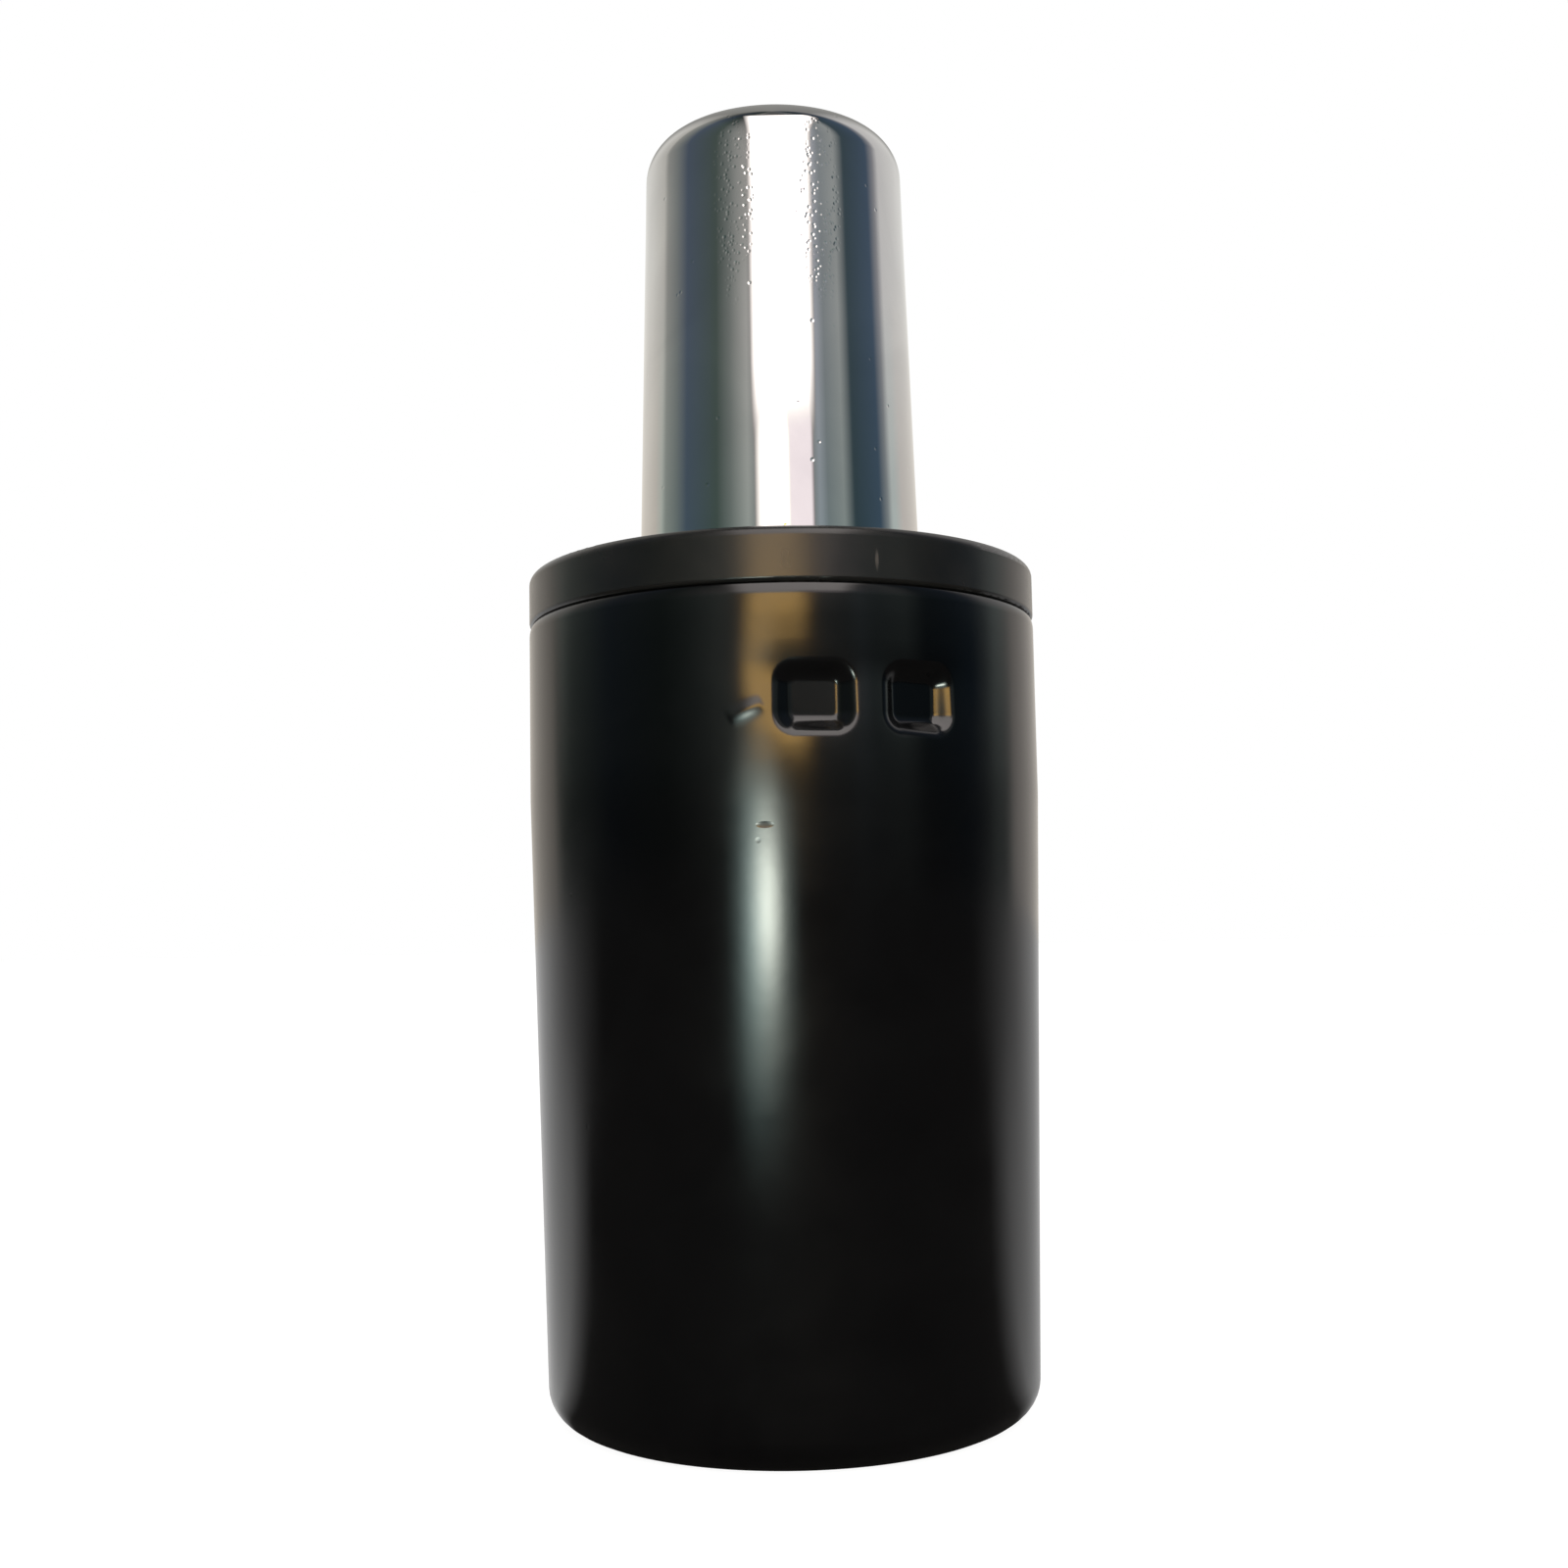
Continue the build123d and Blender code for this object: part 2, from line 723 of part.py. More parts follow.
piston_ring.part.label = "piston_ring"
export_step(piston_ring.part, "parts/piston_ring.step")

with BuildPart() as piston_washer:
    with BuildSketch(Plane.XY.offset(piston_washer_level)):
        Circle(piston_washer_radius)
        Circle(piston_bore_radius, mode=Mode.SUBTRACT)
    extrude(amount=piston_washer_thickness)
    chamfer(piston_washer.edges().filter_by(GeomType.CIRCLE), piston_washer_edge)

piston_washer.part.label = "piston_washer"
export_step(piston_washer.part, "parts/piston_washer.step")

with BuildPart() as piston_nut:
    with BuildSketch(Plane.XY.offset(nut_level)):
        RegularPolygon(piston_washer_radius - nut_inset, side_count=6)
        Circle(piston_bore_radius, mode=Mode.SUBTRACT)
    extrude(amount=nut_height)
    chamfer(piston_nut.edges().group_by(Axis.Z)[-1].filter_by(GeomType.LINE), nut_edge)

piston_nut.part.label = "piston_nut"
export_step(piston_nut.part, "parts/piston_nut.step")


# Valve body: spigot in the inner tube, band with ports, head in the gas tube

valve_head_radius = tube_radius_at(plug_level) - tube_wall - fitted_clearance
inner_ring_radius = valve_inner_ring_section / 2
inner_ring_level = valve_level + (valve_seat_depth + valve_spigot_height) / 2
outer_ring_radius = valve_outer_ring_section / 2
outer_ring_level = valve_head_level + valve_head_height / 2
outer_ring_bore = tube_radius_at(outer_ring_level + outer_ring_radius) - tube_wall
valve_seat_level = valve_level + valve_seat_depth
valve_gland_level = plug_level - valve_gland_depth
valve_port_level = valve_port_band_level + valve_port_band_height / 2
valve_port_band_radius = inner_tube_radius - valve_port_band_inset

with BuildPart() as valve_body:
    with BuildSketch(Plane.XZ) as profile:
        with BuildLine():
            Polyline(
                (pin_radius + running_clearance, valve_seat_level),
                (valve_seat_radius, valve_seat_level),
                (valve_seat_radius, valve_level),
                (spigot_radius, valve_level),
                (spigot_radius, valve_port_band_level),
                (valve_port_band_radius, valve_port_band_level),
                (valve_port_band_radius, valve_head_level),
                (valve_head_radius, valve_head_level),
                (valve_head_radius, plug_level),
                (valve_gland_radius, plug_level),
                (valve_gland_radius, valve_gland_level),
                (pin_radius + running_clearance, valve_gland_level),
                close=True,
            )
        make_face()
        chamfer(corner(profile, spigot_radius, valve_level), valve_edge)
        chamfer(corner(profile, valve_head_radius, valve_head_level), valve_edge)
        chamfer(corner(profile, valve_head_radius, plug_level), valve_edge)
    revolve(axis=Axis.Z)
    # Grooves for the rings on the spigot and on the head
    with BuildSketch(Plane.XY.offset(inner_ring_level - inner_ring_radius - ring_clearance)):
        Circle(inner_tube_radius)
        Circle(
            inner_tube_bore_radius - valve_inner_ring_section - 2 * ring_clearance,
            mode=Mode.SUBTRACT,
        )
    extrude(amount=valve_inner_ring_section + 2 * ring_clearance, mode=Mode.SUBTRACT)
    with BuildSketch(Plane.XY.offset(outer_ring_level - outer_ring_radius - ring_clearance)):
        Circle(tube_radius)
        Circle(
            outer_ring_bore - valve_outer_ring_section - 2 * ring_clearance, mode=Mode.SUBTRACT
        )
    extrude(amount=valve_outer_ring_section + 2 * ring_clearance, mode=Mode.SUBTRACT)
    # Gas ports from the pin's neck out to the gap round the inner tube
    with Locations((0, 0, valve_port_level)):
        with PolarLocations(0, valve_port_count):
            with Locations(Rot(Y=90)):
                Cylinder(
                    valve_port_radius,
                    valve_port_band_radius + cut_overrun,
                    align=(Align.CENTER, Align.CENTER, Align.MIN),
                    mode=Mode.SUBTRACT,
                )

valve_body.part.label = "valve_body"
export_step(valve_body.part, "parts/valve_body.step")

with BuildPart() as valve_inner_ring:
    with Locations((0, 0, inner_ring_level)):
        Torus(inner_tube_bore_radius - ring_clearance - inner_ring_radius, inner_ring_radius)

valve_inner_ring.part.label = "valve_inner_ring"
export_step(valve_inner_ring.part, "parts/valve_inner_ring.step")

with BuildPart() as valve_outer_ring:
    with Locations((0, 0, outer_ring_level)):
        Torus(outer_ring_bore - ring_clearance - outer_ring_radius, outer_ring_radius)

valve_outer_ring.part.label = "valve_outer_ring"
export_step(valve_outer_ring.part, "parts/valve_outer_ring.step")


# Two rings that seal the pin's stem, and the sleeve that keeps them apart

gland_ring_section = valve_gland_radius - pin_radius - 2 * ring_clearance
gland_ring_radius = gland_ring_section / 2
gland_ring_room = gland_ring_section + 2 * ring_clearance
gland_ring_levels = (
    valve_gland_level + gland_ring_room / 2,
    plug_level - gland_ring_room / 2,
)

with BuildPart() as pin_rings:
    for level in gland_ring_levels:
        with Locations((0, 0, level)):
            Torus(pin_radius + ring_clearance + gland_ring_radius, gland_ring_radius)

pin_rings.part.label = "pin_rings"
export_step(pin_rings.part, "parts/pin_rings.step")

with BuildPart() as gland_sleeve:
    with BuildSketch(Plane.XY.offset(valve_gland_level + gland_ring_room)):
        Circle(valve_gland_radius - fitted_clearance)
        Circle(pin_radius + running_clearance, mode=Mode.SUBTRACT)
    extrude(amount=valve_gland_depth - 2 * gland_ring_room)

gland_sleeve.part.label = "gland_sleeve"
export_step(gland_sleeve.part, "parts/gland_sleeve.step")


# Plug under the rolled top of the gas tube, with a room for the button's foot

plug_radius = tube_radius_at(plug_top_level) - tube_wall - fitted_clearance
button_room_depth = button_press_play + button_travel + button_foot_height + button_foot_play
button_room_level = plug_level + button_room_depth
button_foot_radius = button_radius + button_foot_flange

with BuildPart() as top_plug:
    with BuildSketch(Plane.XY.offset(plug_level)):
        Circle(plug_radius)
    extrude(amount=plug_height)
    fillet(top_plug.edges().group_by(Axis.Z)[-1], tube_top_inner_edge + plug_edge_play)
    chamfer(top_plug.edges().group_by(Axis.Z)[0], plug_lower_edge)
    with Locations((0, 0, plug_level)):
        Hole(button_radius + button_side_play)
    with BuildSketch(Plane.XY.offset(plug_level)):
        Circle(button_foot_radius + button_room_play)
    extrude(amount=button_room_depth, mode=Mode.SUBTRACT)

top_plug.part.label = "top_plug"
export_step(top_plug.part, "parts/top_plug.step")


# Valve pin, up to the button's foot, and the button

pin_head_top = valve_seat_level - pin_head_play
pin_head_level = pin_head_top - pin_head_height
button_foot_top = button_room_level - button_foot_play
button_foot_level = button_foot_top - button_foot_height
button_top_level = tube_top_level + button_stand_out

with BuildPart() as valve_pin:
    with BuildSketch(Plane.XZ) as profile:
        with BuildLine():
            Polyline(
                (0, pin_head_level),
                (pin_head_radius, pin_head_level),
                (pin_head_radius, pin_head_top),
                (pin_neck_radius, pin_head_top),
                (pin_neck_radius, valve_gland_level),
                (pin_radius, valve_gland_level),
                (pin_radius, button_foot_level),
                (0, button_foot_level),
                close=True,
            )
        make_face()
        chamfer(corner(profile, pin_head_radius, pin_head_top), pin_head_edge)
        chamfer(corner(profile, pin_radius, button_foot_level), pin_tip_edge)
    revolve(axis=Axis.Z)

valve_pin.part.label = "valve_pin"
export_step(valve_pin.part, "parts/valve_pin.step")

with BuildPart() as release_button:
    with BuildSketch(Plane.XY.offset(button_foot_level)):
        Circle(button_foot_radius)
    extrude(amount=button_foot_height)
    with BuildSketch(Plane.XY.offset(button_foot_top)):
        Circle(button_radius)
    extrude(amount=button_top_level - button_foot_top)
    fillet(release_button.edges().group_by(Axis.Z)[-1], button_edge)

release_button.part.label = "release_button"
export_step(release_button.part, "parts/release_button.step")
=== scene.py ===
import json
import bpy
import numpy as np
from mathutils import Matrix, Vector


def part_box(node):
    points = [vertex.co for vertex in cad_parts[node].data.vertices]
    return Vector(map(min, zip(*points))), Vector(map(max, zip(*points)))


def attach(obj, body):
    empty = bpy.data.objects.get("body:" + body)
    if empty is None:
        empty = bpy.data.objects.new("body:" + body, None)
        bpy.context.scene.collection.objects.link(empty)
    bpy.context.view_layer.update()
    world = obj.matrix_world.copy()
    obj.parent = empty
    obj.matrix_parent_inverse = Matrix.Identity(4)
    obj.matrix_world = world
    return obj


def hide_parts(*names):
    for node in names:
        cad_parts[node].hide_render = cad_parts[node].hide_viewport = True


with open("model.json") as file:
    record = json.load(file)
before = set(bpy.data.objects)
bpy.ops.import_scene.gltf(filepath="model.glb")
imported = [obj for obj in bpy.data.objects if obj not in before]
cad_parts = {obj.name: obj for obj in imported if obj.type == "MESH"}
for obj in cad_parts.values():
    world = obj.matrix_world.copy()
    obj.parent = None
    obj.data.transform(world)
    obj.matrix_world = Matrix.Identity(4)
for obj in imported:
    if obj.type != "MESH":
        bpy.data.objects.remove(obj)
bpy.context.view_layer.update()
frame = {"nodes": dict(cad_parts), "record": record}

# A chair gas lift cylinder: black enamelled stand tube, plastic guide collar, chromed gas tube.
# Metres, +Z up, the foot's centre at the origin. The front, with two dimples beside it, is -Y.

MM = 0.001
TURN = 2 * np.pi


# Sizes of the pieces that are made here, in millimetres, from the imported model's own boxes

def top_of(node):
    """Height of a node's top in millimetres."""
    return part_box(node)[1].z / MM


def foot_of(node):
    """Height of a node's foot in millimetres."""
    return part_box(node)[0].z / MM


def radius_of(node):
    """Largest radius of a round node in millimetres."""
    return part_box(node)[1].x / MM


CONE_SLOPE = np.tan(np.radians(1 + 26 / 60 + 16 / 3600))  # the usual cone of chair columns
SMALL_EDGE = 0.3            # of edges that are barely broken
CLOSE = 0.001               # two sizes that differ by less are the same

STAND_RADIUS = radius_of("outer_tube")
STAND_HEIGHT = top_of("outer_tube")
STAND_WALL = 2.0
STAND_CONE = 58.8           # height where the cone ends and the straight wall starts
FOOT_EDGE = 3.2
FOOT_HOLE = 18.5
FOOT_HOLE_EDGE = 0.5
MOUTH_EDGE = (0.4, 1.15)    # how far the edge is rounded, across and down

DIMPLE_ANGLES = (6.5, 29, 186, 209)     # degrees from the front towards +X
DIMPLE_LEVEL = 65.9
DIMPLE_DEPTH = 1.3
DIMPLE_WIDTH = 4.1          # of the flat floor
DIMPLE_HEIGHT = 3.1
DIMPLE_CORNER = 0.35
DIMPLE_SIDE = 1.85          # from the floor's edge out to the rim
DIMPLE_TILT = 0.07          # the floor's slope down towards +angle
DIMPLE_LIMIT = np.pi / 4    # radians from its middle beyond which a dimple changes nothing
DENT_DEPTH = (0.03, 0.15)   # the punch draws the wall in a little, less below it than above
DENT_REACH = (0.8, 2.6)
BURR = ((-10.8, 64.2), (-4.0, 65.4))    # a drag mark of the punch, from angle and height to another
BURR_WIDTH = 0.6
BURR_HEIGHT = 0.075

TUBE_RADIUS = radius_of("gas_tube")
TUBE_TOP = top_of("gas_tube")
TUBE_FOOT = foot_of("gas_tube")
TUBE_WALL = 1.5
SEAT_CONE = 45.0            # length of the cone at the seat end
SEAT_START = TUBE_TOP - SEAT_CONE
TUBE_TOP_EDGE = 4.2
TUBE_FOOT_EDGE = 2.0
TUBE_TOP_HOLE = 7.37
TUBE_FOOT_HOLE = 7.5
TUBE_HOLE_EDGE = 0.4        # of the hole in the top, outside
TUBE_INNER_EDGE = 0.2       # and inside

# How fine the surfaces are
STAND_ARC_STEPS = 10
MOUTH_STEPS = 14
FINE_BAND = (60.6, 71.0)    # heights between which the stand tube's rows are close together
FINE_ROW = 0.16
COARSE_ROW = 2.0
DIMPLE_REACH = (17, 24)     # degrees from a dimple's middle where the steps start and end growing
FINE_STEP = 0.36            # degrees between columns across a dimple
COARSE_STEP = 1.6
SCAN_STEP = 0.05            # degrees between the angles at which the step is worked out
TUBE_ARC_STEPS = 16
TUBE_ROW = 1.5
TUBE_COLUMNS = 256


# Surfaces

def rounded(points, edges, steps):
    """Profile through corner points, each corner turned into an arc of its radius.

    The arc touches both legs at a distance r / tan(half the corner's angle) from the corner. With
    first and last its two ends as seen from its centre, a the angle between them and s from 0 to
    1, its points are centre + (sin((1 - s) * a) * first + sin(s * a) * last) / sin(a)."""
    points = np.asarray(points, float)
    lines = []
    for before, here, after, edge in zip(
            np.roll(points, 1, 0), points, np.roll(points, -1, 0), edges):
        if edge == 0:
            lines.append(here[None])
            continue
        back = (before - here) / np.linalg.norm(before - here)
        ahead = (after - here) / np.linalg.norm(after - here)
        half = np.arccos(np.clip(back @ ahead, -1, 1)) / 2
        middle = (back + ahead) / np.linalg.norm(back + ahead)
        centre = here + middle * edge / np.sin(half)
        first = here + back * edge / np.tan(half) - centre
        last = here + ahead * edge / np.tan(half) - centre
        angle = np.arccos(np.clip(first @ last / edge ** 2, -1, 1))
        share = np.linspace(0, 1, steps)[:, None]
        arc = (np.sin((1 - share) * angle) * first + np.sin(share * angle) * last) / np.sin(angle)
        lines.append(centre + arc)
    return np.concatenate(lines)


def refined(profile, longest):
    """Closed profile with each run cut into equal parts no longer than a length."""
    ahead = np.roll(profile, -1, 0)
    count = np.maximum(1, np.ceil(np.linalg.norm(ahead - profile, axis=1) / longest)).astype(int)
    start = np.repeat(np.arange(len(profile)), count)
    share = (np.arange(count.sum()) - np.repeat(np.cumsum(count) - count, count)) / count[start]
    return profile[start] + (ahead - profile)[start] * share[:, None]


def turned(name, radius, height, angles):
    """Closed surface round the axis at (r sin a, -r cos a, z), in millimetres.

    A row has one height, a column has one angle, and the radius may change with both. Quads join
    each row to the next and each column to the next, and the last ones to the first."""
    x, y, z = np.broadcast_arrays(radius * np.sin(angles), -radius * np.cos(angles), height)
    points = np.stack([x, y, z], -1).reshape(-1, 3) * MM
    rows, columns = x.shape
    row = np.arange(rows)[:, None]
    column = np.arange(columns)[None]
    next_row = (row + 1) % rows
    next_column = (column + 1) % columns
    quads = np.stack([
        row * columns + column,
        row * columns + next_column,
        next_row * columns + next_column,
        next_row * columns + column,
    ], -1).reshape(-1, 4)
    mesh = bpy.data.meshes.new(name)
    mesh.vertices.add(len(points))
    mesh.vertices.foreach_set("co", points.ravel())
    mesh.loops.add(quads.size)
    mesh.loops.foreach_set("vertex_index", quads.ravel())
    mesh.polygons.add(len(quads))
    mesh.polygons.foreach_set("loop_start", np.arange(0, quads.size, 4))
    mesh.polygons.foreach_set("use_smooth", np.ones(len(quads), bool))
    mesh.update(calc_edges=True)
    mesh.validate()
    piece = bpy.data.objects.new(name, mesh)
    bpy.context.scene.collection.objects.link(piece)
    return piece


def dimpled_angles():
    """Angles of a full turn, close together at the dimples and wide apart elsewhere.

    The step is a function of the angle to the nearest dimple, and the angles are evenly spaced on
    the running sum of 1 / step."""
    angle = np.linspace(0, 360, round(360 / SCAN_STEP) + 1)
    away = np.min([np.abs((angle - a + 180) % 360 - 180) for a in DIMPLE_ANGLES], 0)
    count = np.cumsum(1 / np.interp(away, DIMPLE_REACH, (FINE_STEP, COARSE_STEP)))
    count = (count - count[0]) * SCAN_STEP
    steps = int(round(count[-1]))
    return np.radians(np.interp(np.arange(steps) * count[-1] / steps, count, angle))


def eased(share):
    """A share held between 0 and 1, level at both ends: t * t * (3 - 2 * t)."""
    share = np.clip(share, 0, 1)
    return share * share * (3 - 2 * share)


def dimple_radius(radius, angle, height):
    """Radius of the stand tube's wall with its dimples punched in.

    With d the distance outside the flat floor, a rectangle with round corners, the wall goes from
    the floor's plane, (R - depth) / cos(angle) less its slope, to the tube by the eased share
    d / side. A wider dent of exp(-(d - side) / reach) goes round it, with a depth and a reach that
    grow in the same way from the dimple's lower rim to its upper one."""
    result = radius
    upward = height - DIMPLE_LEVEL
    rise = eased(upward / (DIMPLE_HEIGHT + 2 * DIMPLE_SIDE) + 0.5)
    dent_depth, dent_reach = (
        below + (above - below) * rise for below, above in (DENT_DEPTH, DENT_REACH))
    for middle in DIMPLE_ANGLES:
        turn = (angle - np.radians(middle) + np.pi) % TURN - np.pi
        across = np.maximum(np.abs(turn) * STAND_RADIUS - DIMPLE_WIDTH / 2 + DIMPLE_CORNER, 0)
        along = np.maximum(np.abs(upward) - DIMPLE_HEIGHT / 2 + DIMPLE_CORNER, 0)
        outside = np.maximum(np.hypot(across, along) - DIMPLE_CORNER, 0)
        share = 1 - eased(outside / DIMPLE_SIDE)
        near = np.abs(turn) < DIMPLE_LIMIT
        floor = (radius - DIMPLE_DEPTH) / np.cos(np.where(near, turn, 0))
        floor = floor - DIMPLE_TILT * STAND_RADIUS * turn
        beyond = np.maximum(outside - DIMPLE_SIDE, 0)
        dent = dent_depth * np.exp(-beyond / dent_reach) * (1 - share)
        drop = (radius - floor) * share + dent
        result = result - np.where(near, drop, 0)
    return result


def burr_height(angle, height):
    """Height of a thin ridge along a straight line on the wall.

    With q the share along the line, held between 0 and 1, and d the distance to that point of the
    line, the ridge is exp(-(d / width) squared), and fades at its ends with the square root of
    4 * q * (1 - q)."""
    (a0, z0), (a1, z1) = BURR
    turn = (angle + np.pi) % TURN - np.pi
    x = (turn - np.radians(a0)) * STAND_RADIUS
    along = np.array([np.radians(a1 - a0) * STAND_RADIUS, z1 - z0])
    q = np.clip((x * along[0] + (height - z0) * along[1]) / (along @ along), 0, 1)
    away = np.hypot(x - q * along[0], height - z0 - q * along[1])
    return BURR_HEIGHT * np.exp(-(away / BURR_WIDTH) ** 2) * np.sqrt(4 * q * (1 - q))


def stand_tube():
    """Stand tube: its profile turned round the axis, with the dimples taken off the radius.

    The mouth's edge is a quarter ellipse, (across * cos, down * sin)."""
    foot = STAND_RADIUS - CONE_SLOPE * STAND_CONE
    inner = STAND_RADIUS - STAND_WALL
    low, high = FINE_BAND
    across, down = MOUTH_EDGE
    turn = np.linspace(0, np.pi / 2, MOUTH_STEPS)
    mouth = np.stack([STAND_RADIUS - across * (1 - np.cos(turn)),
                      STAND_HEIGHT - down * (1 - np.sin(turn))], -1)
    profile = rounded(
        [(FOOT_HOLE, 0), (foot, 0), (STAND_RADIUS, STAND_CONE), (STAND_RADIUS, low),
         (STAND_RADIUS, high), *mouth, (inner, STAND_HEIGHT), (inner, high),
         (inner, low), (inner, STAND_CONE), (foot - STAND_WALL, STAND_WALL),
         (FOOT_HOLE, STAND_WALL)],
        [FOOT_HOLE_EDGE, FOOT_EDGE, 0, 0, 0] + [0] * MOUTH_STEPS
        + [SMALL_EDGE, 0, 0, 0, FOOT_EDGE - STAND_WALL, SMALL_EDGE],
        STAND_ARC_STEPS,
    )
    fine = (np.abs(profile[:, 1] - low) < CLOSE) & (profile[:, 0] > inner + CLOSE)
    profile = refined(profile, np.where(fine, FINE_ROW, COARSE_ROW))
    radius, height = (column[:, None] for column in profile.T)
    angles = dimpled_angles()
    shaped = dimple_radius(radius, angles, height)
    shaped = shaped + burr_height(angles, height) * (radius > inner + CLOSE)
    in_band = (height >= low - COARSE_ROW) & (height <= high + COARSE_ROW)
    return turned("stand_tube_wall", np.where(in_band, shaped, radius), height, angles)


def chromed_tube():
    """Gas tube: straight below, a cone at the seat end, rolled in at both ends."""
    top = TUBE_RADIUS - CONE_SLOPE * SEAT_CONE
    inner = TUBE_RADIUS - TUBE_WALL
    under = TUBE_TOP - TUBE_WALL
    above = TUBE_FOOT + TUBE_WALL
    profile = rounded(
        [(TUBE_FOOT_HOLE, TUBE_FOOT), (TUBE_RADIUS, TUBE_FOOT), (TUBE_RADIUS, SEAT_START),
         (top, TUBE_TOP), (TUBE_TOP_HOLE, TUBE_TOP), (TUBE_TOP_HOLE, under),
         (top - TUBE_WALL, under), (inner, SEAT_START), (inner, above),
         (TUBE_FOOT_HOLE, above)],
        [SMALL_EDGE, TUBE_FOOT_EDGE, 0, TUBE_TOP_EDGE, TUBE_HOLE_EDGE, TUBE_INNER_EDGE,
         TUBE_TOP_EDGE - TUBE_WALL, 0, TUBE_FOOT_EDGE - TUBE_WALL, SMALL_EDGE],
        TUBE_ARC_STEPS,
    )
    radius, height = (column[:, None] for column in refined(profile, TUBE_ROW).T)
    angles = np.linspace(0, TURN, TUBE_COLUMNS, endpoint=False)
    return turned("chromed_tube_wall", radius, height, angles)


# Materials

def rgb(hex_text):
    """Linear red, green, blue and alpha of an sRGB hex colour."""
    values = [int(hex_text[i:i + 2], 16) / 255 for i in (1, 3, 5)]
    linear = [v / 12.92 if v <= 0.04045 else ((v + 0.055) / 1.055) ** 2.4 for v in values]
    return (*linear, 1.0)


def add(tree, kind, inputs, stops=(), **settings):
    """Outputs of a new shader node.

    Its inputs go by name or number, or in order where they are a sequence, and each is a value or
    another node's output. The stops of a ramp are pairs of position and colour, and a colour is
    hex or three linear parts."""
    node = tree.nodes.new("ShaderNode" + kind)
    for name, value in settings.items():
        setattr(node, name, value)
    for name, value in inputs.items() if isinstance(inputs, dict) else enumerate(inputs):
        if isinstance(value, bpy.types.NodeSocket):
            tree.links.new(value, node.inputs[name])
        else:
            node.inputs[name].default_value = value
    if stops:
        elements = node.color_ramp.elements
        while len(elements) < len(stops):
            elements.new(0.5)
        for element, (position, colour) in zip(elements, stops):
            element.position = position
            element.color = rgb(colour) if isinstance(colour, str) else (*colour, 1)
    return node.outputs


def scale_of(width):
    """Scale of a pattern whose cells are about as wide as a length in millimetres."""
    return 1 / MM / width


NOISE_RANGE = (0.3, 0.7)    # nearly all of a noise's values lie between these


def new_material(name):
    """Empty node material, its tree and its Object coordinates."""
    material = bpy.data.materials.new(name)
    material.use_nodes = True
    tree = material.node_tree
    tree.nodes.clear()
    return material, tree, add(tree, "TexCoord", ())["Object"]


def finish(material, tree, relief, inputs):
    """The material with a Principled shader over its relief.

    The relief is layers, one over another: each a height from 0 to 1, its depth in millimetres
    and its strength. Constants are set on the shader's own sockets."""
    under = {}
    for height, depth, strength in relief:
        layer = {"Height": height, "Distance": depth * MM, "Strength": strength}
        under = {"Normal": add(tree, "Bump", {**layer, **under})["Normal"]}
    shader = add(tree, "BsdfPrincipled", {**inputs, **under})["BSDF"]
    add(tree, "OutputMaterial", {"Surface": shader})
    return material


def on_wall(radius, angle, height):
    """Place in metres at a radius and height in millimetres and an angle from the front."""
    turn = np.radians(angle)
    return (radius * np.sin(turn) * MM, -radius * np.cos(turn) * MM, height * MM)


SPOT_FADE = (0.3, 1)        # shares of the way out from a spot's middle between which it fades


def spot(tree, place, middle, size):
    """1 in the middle of an ellipsoid, given in metres, falling to 0 at its surface."""
    away = add(tree, "VectorMath", (place, middle), operation="SUBTRACT")[0]
    share = add(tree, "VectorMath", (away, size), operation="DIVIDE")[0]
    far = add(tree, "VectorMath", (share,), operation="LENGTH")["Value"]
    return add(tree, "MapRange", (far, *SPOT_FADE, 1, 0))[0]


SCUFF_PLACE = on_wall(STAND_RADIUS, -3.9, 54.9)
SCUFF_SIZE = (0.8 * MM, 1.0 * MM, 0.3 * MM)


def black_enamel():
    """Stoved gloss black enamel on pressed steel: near black with a hard, bright highlight.

    It flows out to a faint orange peel about 1.5 mm across, and handling leaves a thin haze, a
    few small nicks that catch the light, and one scuff on the front."""
    material, tree, place = new_material("stoved_black_enamel")
    peel = add(tree, "TexNoise", {"Vector": place, "Scale": scale_of(1.5), "Detail": 1})["Fac"]
    haze = add(tree, "TexNoise", {"Vector": place, "Scale": scale_of(9), "Detail": 4,
                                  "Distortion": 0.4})["Fac"]
    dust = add(tree, "TexNoise", {"Vector": place, "Scale": scale_of(0.35), "Detail": 3})["Fac"]
    cells = add(tree, "TexVoronoi", {"Vector": place, "Scale": scale_of(6)})["Distance"]
    nicks = add(tree, "MapRange", (cells, 0.02, 0.05, 1, 0))[0]
    scuff = spot(tree, place, SCUFF_PLACE, SCUFF_SIZE)
    colour = add(tree, "ValToRGB", {"Fac": haze}, [(0.3, "#050506"), (0.75, "#09090a")])["Color"]
    rough = add(tree, "MapRange", (haze, 0.3, 0.75, 0.13, 0.2))[0]
    rough = add(tree, "Math", (scuff, 0.25, rough), operation="MULTIPLY_ADD")[0]
    relief = [(peel, 0.004, 0.6), (dust, 0.0006, 0.5), (nicks, -0.01, 0.5), (scuff, -0.03, 1.0)]
    return finish(material, tree, relief, {"IOR": 1.5, "Base Color": colour, "Roughness": rough})


GRIP_ANGLES = (-16, 18, 164, 198)   # degrees from the front
GRIP_LEVEL = 115            # millimetres
GRIP_SIZE = (3.2 * MM, 6 * MM, 13 * MM)


